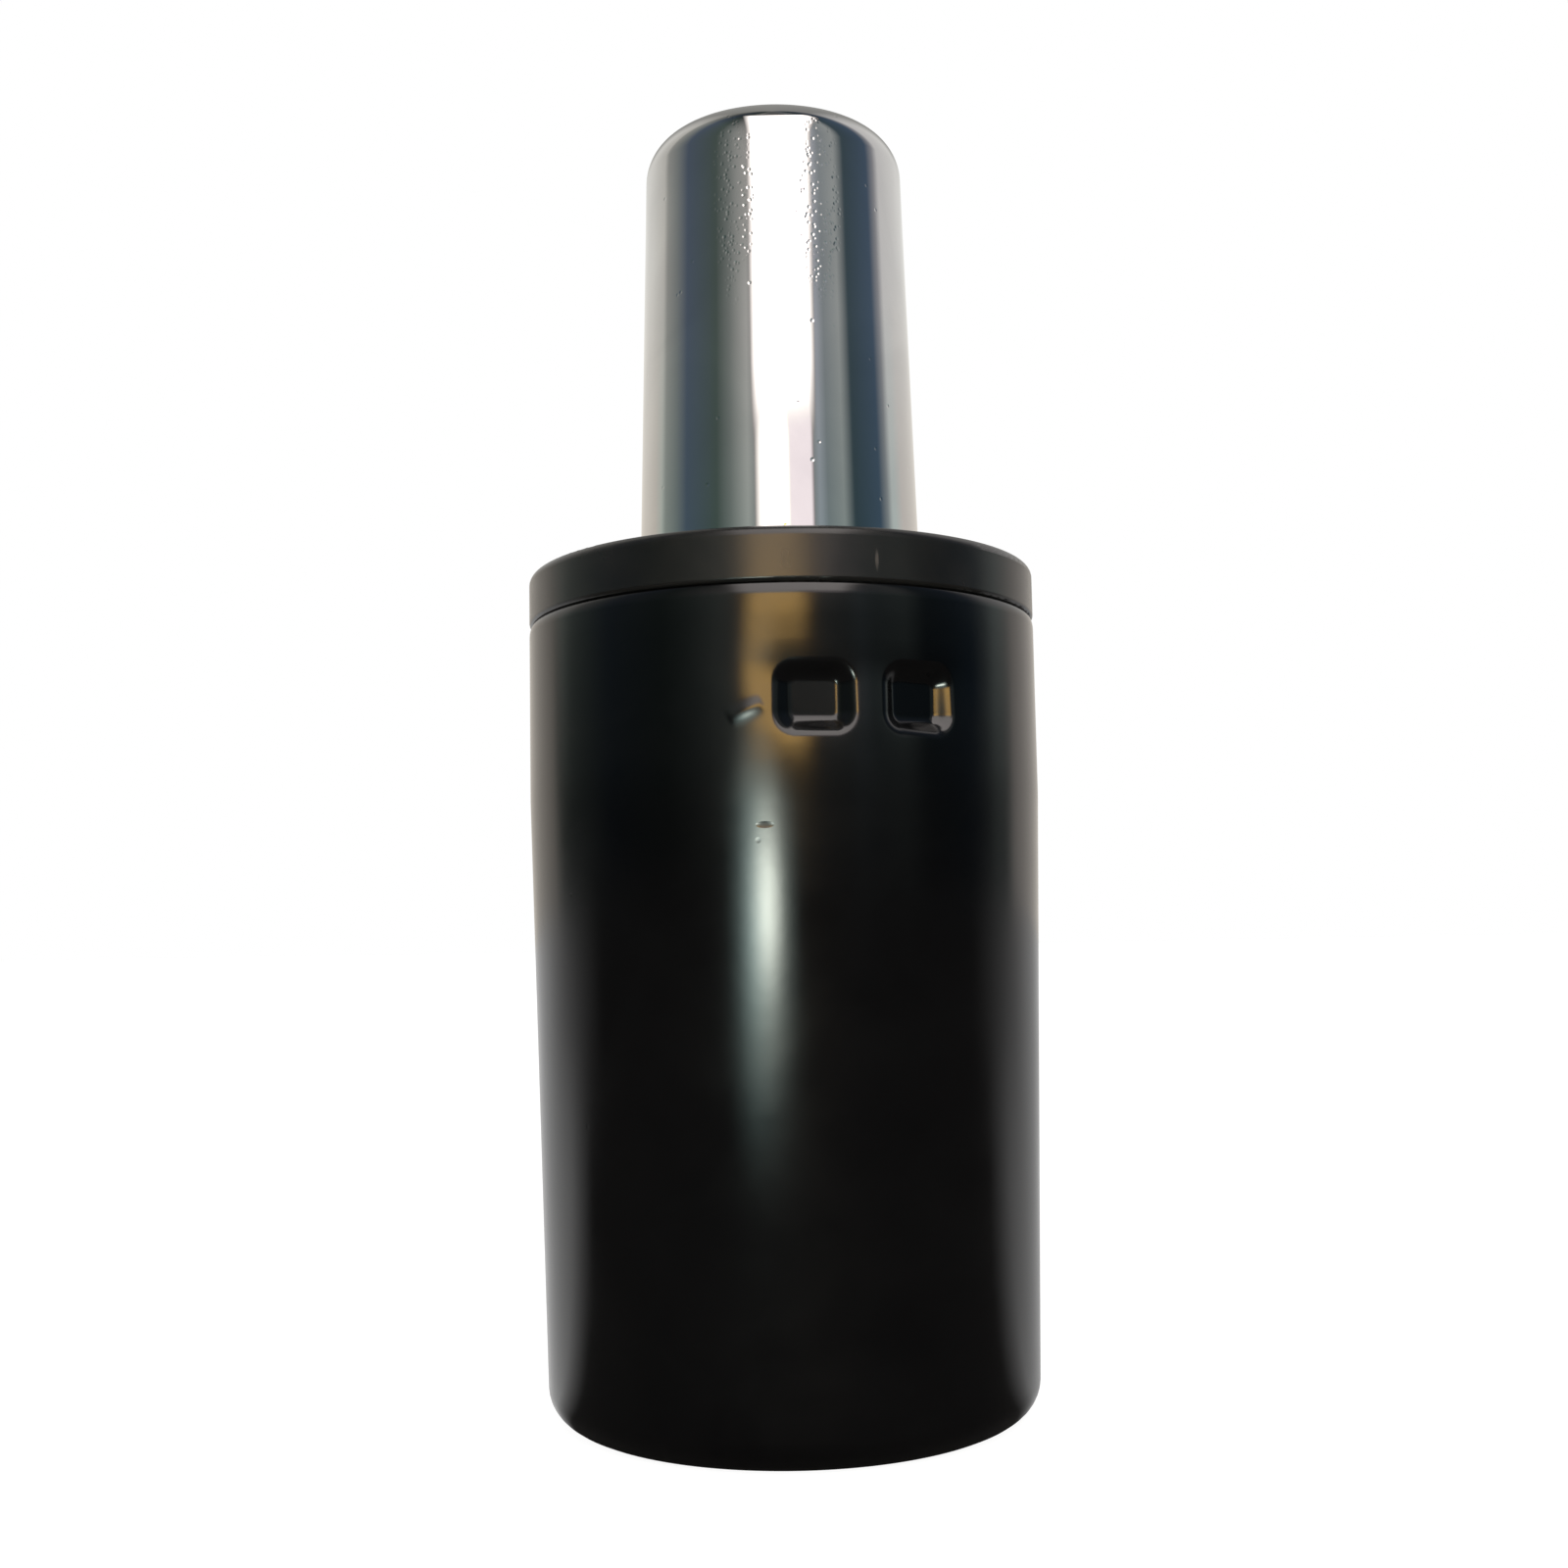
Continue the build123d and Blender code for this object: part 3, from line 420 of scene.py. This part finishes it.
def bright_chrome():
    """Bright chrome on ground and drawn steel tube: a mirror with a faint grey tone.

    Fine pits, about one in each half millimetre, sparkle beside the reflected lights where a
    socket has gripped the cone. A few lie elsewhere, and the drawing leaves very shallow lines
    along the tube."""
    material, tree, place = new_material("bright_chrome_plate")
    worn = 0
    for angle in GRIP_ANGLES:
        grip = spot(tree, place, on_wall(TUBE_RADIUS, angle, GRIP_LEVEL), GRIP_SIZE)
        worn = add(tree, "Math", (grip, worn), operation="MAXIMUM")[0]
    cloud = add(tree, "TexNoise", {"Vector": place, "Scale": scale_of(4),
                                   "Distortion": 0.4})["Fac"]
    patches = add(tree, "Math", (cloud, worn), operation="ADD")[0]
    patches = add(tree, "MapRange", (patches, 0.9, 1.15))[0]
    film = add(tree, "TexNoise", {"Vector": place, "Scale": scale_of(14), "Detail": 4,
                                  "Distortion": 1})["Fac"]
    along = add(tree, "Mapping", {"Vector": place, "Scale": (1, 1, 0.04)})["Vector"]
    drawn = add(tree, "TexNoise", {"Vector": along, "Scale": scale_of(0.9)})["Fac"]
    close = add(tree, "TexVoronoi", {"Vector": place, "Scale": scale_of(0.5)})["Distance"]
    close = add(tree, "MapRange", (close, 0.05, 0.4, 1, 0))[0]
    pits = add(tree, "Math", (close, patches), operation="MULTIPLY")[0]
    lone = add(tree, "TexVoronoi", {"Vector": place, "Scale": scale_of(2.4)})["Distance"]
    lone = add(tree, "MapRange", (lone, 0.02, 0.09, 1, 0))[0]
    colour = add(tree, "ValToRGB", {"Fac": film}, [(0.3, "#c3c3c2"), (0.7, "#cfcfcd")])["Color"]
    rough = add(tree, "MapRange", (film, *NOISE_RANGE, 0.03, 0.06))[0]
    rough = add(tree, "Math", (patches, 0.04, rough), operation="MULTIPLY_ADD")[0]
    relief = [(pits, -0.016, 1.0), (lone, -0.015, 1.0), (drawn, 0.0012, 0.5)]
    return finish(material, tree, relief,
                  {"Metallic": 1.0, "Base Color": colour, "Roughness": rough})


# A pale upright rub where the collar came out of its mould
WITNESS_PLACE = on_wall(radius_of("guide_sleeve"), 19.8, 77.9)
WITNESS_SIZE = (0.3 * MM, 0.5 * MM, 1.9 * MM)


def moulded_acetal():
    """Moulded black acetal: a waxy satin black, paler where it faces the light.

    The mould leaves a fine grain about 0.2 mm across, slow flow marks round the collar, and a
    pale upright rub."""
    material, tree, place = new_material("moulded_black_acetal")
    grain = add(tree, "TexNoise", {"Vector": place, "Scale": scale_of(0.2)})["Fac"]
    flow = add(tree, "TexNoise", {"Vector": place, "Scale": scale_of(5), "Detail": 3,
                                  "Distortion": 0.8})["Fac"]
    rub = spot(tree, place, WITNESS_PLACE, WITNESS_SIZE)
    tone = add(tree, "MapRange", (flow, *NOISE_RANGE, 0, 0.5))[0]
    tone = add(tree, "Math", (rub, 0.5, tone), operation="MULTIPLY_ADD")[0]
    colour = add(tree, "ValToRGB", {"Fac": tone},
                 [(0, "#181818"), (0.5, "#1f1e1d"), (1, "#6a6461")])["Color"]
    rough = add(tree, "MapRange", (flow, *NOISE_RANGE, 0.22, 0.28))[0]
    return finish(material, tree, [(grain, 0.001, 0.5)],
                  {"IOR": 1.48, "Base Color": colour, "Roughness": rough})


def plated_zinc():
    """Bright zinc plate on pressed and turned steel: pale grey with a blue cast, a bit clouded."""
    material, tree, place = new_material("passivated_zinc_plate")
    cloud = add(tree, "TexNoise", {"Vector": place, "Scale": scale_of(3), "Detail": 4,
                                   "Distortion": 0.5})["Fac"]
    fine = add(tree, "TexNoise", {"Vector": place, "Scale": scale_of(0.25)})["Fac"]
    colour = add(tree, "ValToRGB", {"Fac": cloud},
                 [(0.3, "#b3b7bb"), (0.5, "#c3c5c3"), (0.72, "#bfbdb4")])["Color"]
    rough = add(tree, "MapRange", (cloud, *NOISE_RANGE, 0.24, 0.38))[0]
    return finish(material, tree, [(fine, 0.0015, 0.5)],
                  {"Metallic": 1.0, "Base Color": colour, "Roughness": rough})


def turned_metal(name, dark, light, low, high):
    """Metal turned or ground between centres: fine rings round the axis, between two tones.

    The tool leaves rings closer than 0.1 mm, drawn here as 0.25 mm so that they show. A thin film
    of oil stains it in patches about 6 mm across."""
    material, tree, place = new_material(name)
    across = add(tree, "Mapping", {"Vector": place, "Scale": (0.03, 0.03, 1)})["Vector"]
    rings = add(tree, "TexNoise", {"Vector": across, "Scale": scale_of(0.25), "Detail": 3})["Fac"]
    stain = add(tree, "TexNoise", {"Vector": place, "Scale": scale_of(6), "Detail": 3})["Fac"]
    colour = add(tree, "ValToRGB", {"Fac": stain}, [(0.3, dark), (0.7, light)])["Color"]
    rough = add(tree, "MapRange", (rings, *NOISE_RANGE, low, high))[0]
    return finish(material, tree, [(rings, 0.001, 0.5)],
                  {"Metallic": 1.0, "Base Color": colour, "Roughness": rough})


def phosphated_steel():
    """Phosphated spring steel: charcoal grey, dull and slightly crystalline."""
    material, tree, place = new_material("phosphated_spring_steel")
    crystal = add(tree, "TexNoise", {"Vector": place, "Scale": scale_of(0.3), "Detail": 4})["Fac"]
    patch = add(tree, "TexNoise", {"Vector": place, "Scale": scale_of(3), "Detail": 3})["Fac"]
    colour = add(tree, "ValToRGB", {"Fac": patch}, [(0.3, "#3a3b3d"), (0.7, "#4c4d4e")])["Color"]
    rough = add(tree, "MapRange", (crystal, *NOISE_RANGE, 0.45, 0.62))[0]
    return finish(material, tree, [(crystal, 0.003, 0.6)],
                  {"Metallic": 1.0, "Base Color": colour, "Roughness": rough})


def natural_nylon():
    """Moulded natural nylon: a warm milky white that lets a little light in."""
    material, tree, place = new_material("moulded_natural_nylon")
    flow = add(tree, "TexNoise", {"Vector": place, "Scale": scale_of(4), "Detail": 3,
                                  "Distortion": 0.6})["Fac"]
    grain = add(tree, "TexNoise", {"Vector": place, "Scale": scale_of(0.3)})["Fac"]
    colour = add(tree, "ValToRGB", {"Fac": flow}, [(0.3, "#d2cbb8"), (0.7, "#dfd9c8")])["Color"]
    rough = add(tree, "MapRange", (flow, *NOISE_RANGE, 0.36, 0.46))[0]
    return finish(material, tree, [(grain, 0.002, 0.5)],
                  {"IOR": 1.53, "Subsurface Weight": 0.15, "Subsurface Scale": 1 * MM,
                   "Base Color": colour, "Roughness": rough})


def nitrile_rubber():
    """Moulded nitrile rubber: soft black with a bloom that greys it in patches."""
    material, tree, place = new_material("moulded_nitrile_rubber")
    bloom = add(tree, "TexNoise", {"Vector": place, "Scale": scale_of(3), "Detail": 4,
                                   "Distortion": 0.5})["Fac"]
    grain = add(tree, "TexNoise", {"Vector": place, "Scale": scale_of(0.4)})["Fac"]
    colour = add(tree, "ValToRGB", {"Fac": bloom}, [(0.35, "#1a1a1a"), (0.75, "#2a2a29")])["Color"]
    rough = add(tree, "MapRange", (bloom, 0.35, 0.75, 0.55, 0.75))[0]
    return finish(material, tree, [(grain, 0.006, 0.6)],
                  {"IOR": 1.52, "Base Color": colour, "Roughness": rough})


FINISHES = {
    "black_painted_steel": black_enamel(),
    "chromed_steel": bright_chrome(),
    "black_acetal": moulded_acetal(),
    "zinc_plated_steel": plated_zinc(),
    "bearing_steel": turned_metal("ground_bearing_steel", "#a9abad", "#bcbdbd", 0.14, 0.24),
    "hard_rod_steel": turned_metal("hard_chromed_rod", "#c0c2c4", "#cccdcd", 0.06, 0.14),
    "dark_spring_steel": phosphated_steel(),
    "drawn_steel": turned_metal("cold_drawn_steel", "#8d8c89", "#a3a19c", 0.28, 0.42),
    "machined_aluminium": turned_metal("turned_aluminium", "#cfd1d3", "#dcdddd", 0.2, 0.34),
    "turned_brass": turned_metal("turned_brass", "#c2a25a", "#d2b46c", 0.18, 0.32),
    "cage_nylon": natural_nylon(),
    "black_rubber": nitrile_rubber(),
}


def dress(piece, slot):
    """Give a piece the finish of a material slot."""
    piece.data.materials.clear()
    piece.data.materials.append(FINISHES[slot])


SLOTS = {entry["node"]: entry["material_slot"] for entry in frame["record"]["subparts"]}
for node, piece in frame["nodes"].items():
    dress(piece, SLOTS[node])

for piece, node, body in (
        (stand_tube(), "outer_tube", "stand"),
        (chromed_tube(), "gas_tube", "lifting_tube")):
    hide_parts(node)
    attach(piece, body)
    dress(piece, SLOTS[node])


# Floor and surroundings

FLOOR_HALF = 6              # metres, so far that its edge doesn't show in the chrome
FLOOR_GLOW = 0.94           # what the camera sees of the floor besides the light that falls on it
BACKDROP = 0.75             # how bright the paper behind the column is in reflections
RIGHT_SHADE = 0.72          # painted shade: how much of that glow is left on the right
RIGHT_FADE = (0, 0.6)       # from straight behind to the right, as a share of the distance
# In reflections the paper's glow carries painted shade, dark in front: it turns from dark to bright
# by how far back a place lies, as a share of its distance: between one pair of shares near the
# foot, and between another far away
BACK_START = 12 * MM        # in front of the axis, from where that is measured
NEAR_BACK = (0.14, 0.42)
FAR_BACK = (0, 0.7)
FAR_AWAY = (0.15, 0.5)      # metres from the foot between which the one passes into the other


def pale_floor():
    """Matt paper that shows white to the camera and keeps a soft shadow at the foot.

    Behind the column it is as pale in reflections, so that metal shows the backdrop. That glow in
    reflections carries painted shade: it is dark in front of the column and dimmer on the right. To
    every ray but the camera's the paper is a darker grey, which is painted shade in reflections and
    in the light it throws back."""
    material, tree, place = new_material("matt_white_paper")
    seen = add(tree, "LightPath", ())
    fibre = add(tree, "TexNoise", {"Vector": place, "Scale": scale_of(1.2), "Detail": 3})["Fac"]
    tone = add(tree, "MapRange", (fibre, *NOISE_RANGE, 0, 0.1))[0]
    # Painted shade: to every ray but the camera's the paper is a darker grey, so it is darker in
    # reflections and in the light it throws back
    tone = add(tree, "Math", (tone, seen["Is Camera Ray"]), operation="ADD")[0]
    colour = add(tree, "ValToRGB", {"Fac": tone},
                 [(0, "#464646"), (0.1, "#4c4c4c"), (0.9, "#6f6f6f"), (1, "#787878")])["Color"]
    matt = add(tree, "BsdfDiffuse", {"Color": colour})[0]

    # The paper's glow in reflections, with painted shade: dark in front of the column and dimmer on
    # its right
    parts = add(tree, "SeparateXYZ", (place,))
    away = add(tree, "VectorMath", (place,), operation="LENGTH")["Value"]
    back = add(tree, "Math", (parts["Y"], BACK_START), operation="ADD")[0]
    back = add(tree, "Math", (back, away), operation="DIVIDE")[0]
    near = add(tree, "MapRange", (back, *NEAR_BACK, 0, BACKDROP))[0]
    far = add(tree, "MapRange", (back, *FAR_BACK, 0, BACKDROP))[0]
    distant = add(tree, "MapRange", (away, *FAR_AWAY))[0]
    behind = add(tree, "Mix", {"Factor": distant, "A": near, "B": far})[0]
    right = add(tree, "Math", (parts["X"], away), operation="DIVIDE")[0]
    # Painted shade on the right side of that glow
    shade = add(tree, "MapRange", (right, *RIGHT_FADE, 1, RIGHT_SHADE))[0]
    behind = add(tree, "Math", (behind, shade), operation="MULTIPLY")[0]

    painted_glow_in_reflections = add(tree, "Math", (seen["Is Glossy Ray"], behind), operation="MULTIPLY")[0]
    strength = add(tree, "Math", (seen["Is Camera Ray"], FLOOR_GLOW, painted_glow_in_reflections),
                   operation="MULTIPLY_ADD")[0]
    glow = add(tree, "Emission", {"Color": (1, 1, 1, 1), "Strength": strength})[0]
    both = add(tree, "AddShader", (matt, glow))[0]
    add(tree, "OutputMaterial", {"Surface": both})
    return material


floor_mesh = bpy.data.meshes.new("floor")
floor_mesh.from_pydata(
    [(-FLOOR_HALF, -FLOOR_HALF, 0), (FLOOR_HALF, -FLOOR_HALF, 0),
     (FLOOR_HALF, FLOOR_HALF, 0), (-FLOOR_HALF, FLOOR_HALF, 0)], [], [(0, 1, 2, 3)])
floor = bpy.data.objects.new("floor", floor_mesh)
bpy.context.scene.collection.objects.link(floor)
floor.data.materials.append(pale_floor())

# The walls of the room round the column: angle from the front towards +X, and the wall's light
WALLS = (
    (-180, (0.95, 0.94, 0.9)),      # white paper behind the column, shaded towards its end
    (-135, (0.86, 0.84, 0.8)),
    (-114, (0.7, 0.68, 0.64)),
    (-108, (0.4, 0.4, 0.38)),
    (-95, (0.26, 0.28, 0.28)),
    (-82, (0.1, 0.13, 0.18)),       # dark wall on the left
    (-52, (0.09, 0.12, 0.11)),
    (-40, (0.23, 0.25, 0.24)),
    (-25, (0.55, 0.54, 0.52)),      # pale wall on the window's left
    (-17, (0.34, 0.34, 0.34)),      # shade round the window
    (28, (0.34, 0.34, 0.34)),
    (34, (0.48, 0.5, 0.56)),        # the window's cool frame
    (41, (0.3, 0.33, 0.35)),        # grey wall
    (55, (0.42, 0.44, 0.44)),
    (65, (0.06, 0.09, 0.11)),       # dark blue doorway on the right
    (92, (0.08, 0.12, 0.18)),
    (101, (0.35, 0.35, 0.38)),      # the paper's other end
    (108, (0.8, 0.78, 0.78)),
    (180, (0.95, 0.94, 0.9)),
)
# The share of its light that a wall loses low down, where walls are greener and the paper warmer
WALL_LOSS = (0.26, 0.12, 0.15)
PAPER_LOSS = (0.1, 0.15, 0.2)
LOSS_FADE = (13, 22)        # degrees of height between which that loss fades
NEAR_THE_FLOOR = (3, 13)    # degrees of height between which the front of the room gets brighter
LOW_SHARE = 0.3
BEHIND = (112, 124)         # degrees from the front where the paper starts
BEAM_HALF_WIDTH = (0.25, 0.5)       # a grey beam across the ceiling, by the parts of the direction
BEAM_HEIGHT = (0.38, 0.5)
BEAM_SHARE = 0.4
# Bright panels: angles and heights in degrees, softness of their sides and of their upper and
# lower edges, and their light
PANELS = (
    ((-18.6, 28.5), (19.5, 74), 6, 3, (3.4, 3.15, 3.05)),       # tall window, in front
    ((-15.5, 9), (14, 20), 8, 2.5, (3.3, 3.1, 2.95)),           # its lower left corner
    ((7, 27.5), (13.2, 20), 3, 1.5, (1.5, 1.33, 1.38)),         # pale curtain by that corner
    ((-13.5, 10.5), (7.4, 13.5), 7, 1.2, (8.8, 5.3, 1.6)),      # lit wood under it
    ((-19, -3), (2, 6.5), 6, 3, (1.9, 2.0, 1.8)),               # the desk's pale edge
)
# With 1 the panels' sides keep to one angle at every height, and with 0 to one part to the right.
# A value between them keeps their reflections upright on a rounded rim too
PANEL_LEAN = 0.3
IN_FRONT = (0.05, 0.15)     # parts of the direction to the front between which the panels set in


def window(tree, value, limits, softness):
    """1 between two limits, falling to 0 within a softness at each."""
    low, high = limits
    half = softness / 2
    rise = add(tree, "MapRange", (value, low - half, low + half))[0]
    fall = add(tree, "MapRange", (value, high - half, high + half, 1, 0))[0]
    return add(tree, "Math", (rise, fall), operation="MULTIPLY")[0]


def room_light():
    """World: white to the camera, and otherwise a room whose light changes with direction.

    A wall's light follows from the angle round the column. It is less low down and on the beam.
    The panels lie over the walls, where the brighter one shows. Their sides lie at the direction's
    part to the right, over the cosine of its height to the power of the lean."""
    world = bpy.data.worlds.new("room")
    bpy.context.scene.world = world
    world.use_nodes = True
    tree = world.node_tree
    tree.nodes.clear()
    toward = add(tree, "TexCoord", ())["Generated"]
    parts = add(tree, "SeparateXYZ", (toward,))
    front = add(tree, "Math", (parts["Y"], -1), operation="MULTIPLY")[0]
    turn = add(tree, "Math", (parts["X"], front), operation="ARCTAN2")[0]
    rise = add(tree, "Math", (parts["Z"],), operation="ARCSINE")[0]
    angle = add(tree, "Math", (turn,), operation="DEGREES")[0]
    height = add(tree, "Math", (rise,), operation="DEGREES")[0]

    way_round = add(tree, "MapRange", (angle, -180, 180))[0]
    wall = add(tree, "ValToRGB", {"Fac": way_round},
               [((a + 180) / 360, light) for a, light in WALLS])["Color"]
    aside = add(tree, "Math", (angle,), operation="ABSOLUTE")[0]
    behind = add(tree, "MapRange", (aside, *BEHIND))[0]
    paper_loss = add(tree, "VectorMath", {0: PAPER_LOSS, "Scale": behind}, operation="SCALE")[0]
    before = add(tree, "Math", (1, behind), operation="SUBTRACT")[0]
    wall_loss = add(tree, "VectorMath", {0: WALL_LOSS, "Scale": before}, operation="SCALE")[0]
    loss = add(tree, "VectorMath", (paper_loss, wall_loss), operation="ADD")[0]
    low = add(tree, "MapRange", (height, *LOSS_FADE, 1, 0))[0]
    loss = add(tree, "VectorMath", {0: loss, "Scale": low}, operation="SCALE")[0]
    kept = add(tree, "VectorMath", ((1, 1, 1), loss), operation="SUBTRACT")[0]
    total = add(tree, "VectorMath", (wall, kept), operation="MULTIPLY")[0]

    share = add(tree, "MapRange", (height, *NEAR_THE_FLOOR, LOW_SHARE, 1))[0]
    share = add(tree, "Math", (share, behind), operation="MAXIMUM")[0]
    sideways = add(tree, "Math", (parts["X"],), operation="ABSOLUTE")[0]
    beam = add(tree, "MapRange", (sideways, *BEAM_HALF_WIDTH, 1, 0))[0]
    overhead = add(tree, "MapRange", (parts["Z"], *BEAM_HEIGHT))[0]
    beam = add(tree, "Math", (beam, overhead), operation="MULTIPLY")[0]
    beam = add(tree, "MapRange", (beam, 0, 1, 1, BEAM_SHARE))[0]
    share = add(tree, "Math", (share, beam), operation="MULTIPLY")[0]
    total = add(tree, "VectorMath", {0: total, "Scale": share}, operation="SCALE")[0]

    level = add(tree, "Math", (rise,), operation="COSINE")[0]
    lean = add(tree, "Math", (level, PANEL_LEAN), operation="POWER")[0]
    side = add(tree, "Math", (parts["X"], lean), operation="DIVIDE")[0]
    in_front = add(tree, "MapRange", (front, *IN_FRONT))[0]
    for angles, heights, side_softness, softness, light in PANELS:
        across = window(tree, side, np.sin(np.radians(angles)), np.radians(side_softness))
        upward = window(tree, height, heights, softness)
        lit = add(tree, "Math", (across, upward), operation="MULTIPLY")[0]
        lit = add(tree, "Math", (lit, in_front), operation="MULTIPLY")[0]
        panel = add(tree, "VectorMath", {0: light, "Scale": lit}, operation="SCALE")[0]
        total = add(tree, "VectorMath", (total, panel), operation="MAXIMUM")[0]

    room = add(tree, "Background", {"Color": total})[0]
    white = add(tree, "Background", {"Color": (1, 1, 1, 1)})[0]
    seen = add(tree, "LightPath", ())["Is Camera Ray"]
    surface = add(tree, "MixShader", (seen, room, white))[0]
    add(tree, "OutputWorld", {"Surface": surface})


room_light()

LAMP_DISTANCE = 0.2         # metres from the axis
CORE_FALL = 32              # how fast a lamp's bright core and its halo fade towards its edges
HALO_FALL = 9


def soft_lamp(name, angle, level, size, core, halo):
    """Area lamp at an angle from the front, facing the column, brightest in its middle.

    With q the square of the distance from its middle, as a share of its size, its light is
    core * exp(-32 * q) + halo * exp(-9 * q), each of them three parts of colour."""
    width, height = size
    data = bpy.data.lights.new(name, "AREA")
    data.shape = "RECTANGLE"
    data.size = width
    data.size_y = height
    data.energy = np.pi * width * height    # so that each place sends out the shader's own light
    data.use_nodes = True
    tree = data.node_tree
    tree.nodes.clear()
    place = add(tree, "NewGeometry", ())["Parametric"]
    away = add(tree, "VectorMath", (place, (0.5, 0.5, 0)), operation="SUBTRACT")[0]
    square = add(tree, "VectorMath", (away, away), operation="DOT_PRODUCT")["Value"]
    lights = []
    for colour, fall in ((core, CORE_FALL), (halo, HALO_FALL)):
        share = add(tree, "Math", (square, -fall), operation="MULTIPLY")[0]
        share = add(tree, "Math", (share,), operation="EXPONENT")[0]
        lights.append(add(tree, "VectorMath", {0: colour, "Scale": share}, operation="SCALE")[0])
    light = add(tree, "VectorMath", lights, operation="ADD")[0]
    emission = add(tree, "Emission", {"Color": light, "Strength": 1.0})[0]
    add(tree, "OutputLight", {"Surface": emission})
    lamp = bpy.data.objects.new(name, data)
    bpy.context.scene.collection.objects.link(lamp)
    turn = np.radians(angle)
    lamp.matrix_world = (
        Matrix.Translation((LAMP_DISTANCE * np.sin(turn), -LAMP_DISTANCE * np.cos(turn), level))
        @ Matrix.Rotation(turn, 4, "Z")
        @ Matrix.Rotation(np.radians(90), 4, "X")
    )
    lamp.visible_camera = False


soft_lamp("strip_lamp", -7.3, 0.0425, (0.085, 0.07), core=(26, 27, 23.5), halo=(2.3, 3.1, 2.9))
soft_lamp("cool_lamp", -12.5, 0.037, (0.075, 0.09), core=(2.8, 3.9, 3.7), halo=(1.5, 2.2, 2.1))

# Camera, at the place that the outline of the column in the photo gives
CAMERA_PLACE = (0, -0.176881, 0.045437)
CAMERA_PITCH = 4.853        # degrees up
CAMERA_ROLL = -1.035
CAMERA_LENS = 40.916        # millimetres
CAMERA_SENSOR = 36
CAMERA_NEAR = 0.01          # metres

camera_data = bpy.data.cameras.new("camera")
camera_data.lens = CAMERA_LENS
camera_data.sensor_width = CAMERA_SENSOR
camera_data.clip_start = CAMERA_NEAR
camera = bpy.data.objects.new("camera", camera_data)
bpy.context.scene.collection.objects.link(camera)
camera.matrix_world = (
    Matrix.Translation(CAMERA_PLACE)
    @ Matrix.Rotation(np.radians(90 + CAMERA_PITCH), 4, "X")
    @ Matrix.Rotation(np.radians(CAMERA_ROLL), 4, "Z")
)
bpy.context.scene.camera = camera
bpy.context.scene.view_settings.view_transform = "Standard"
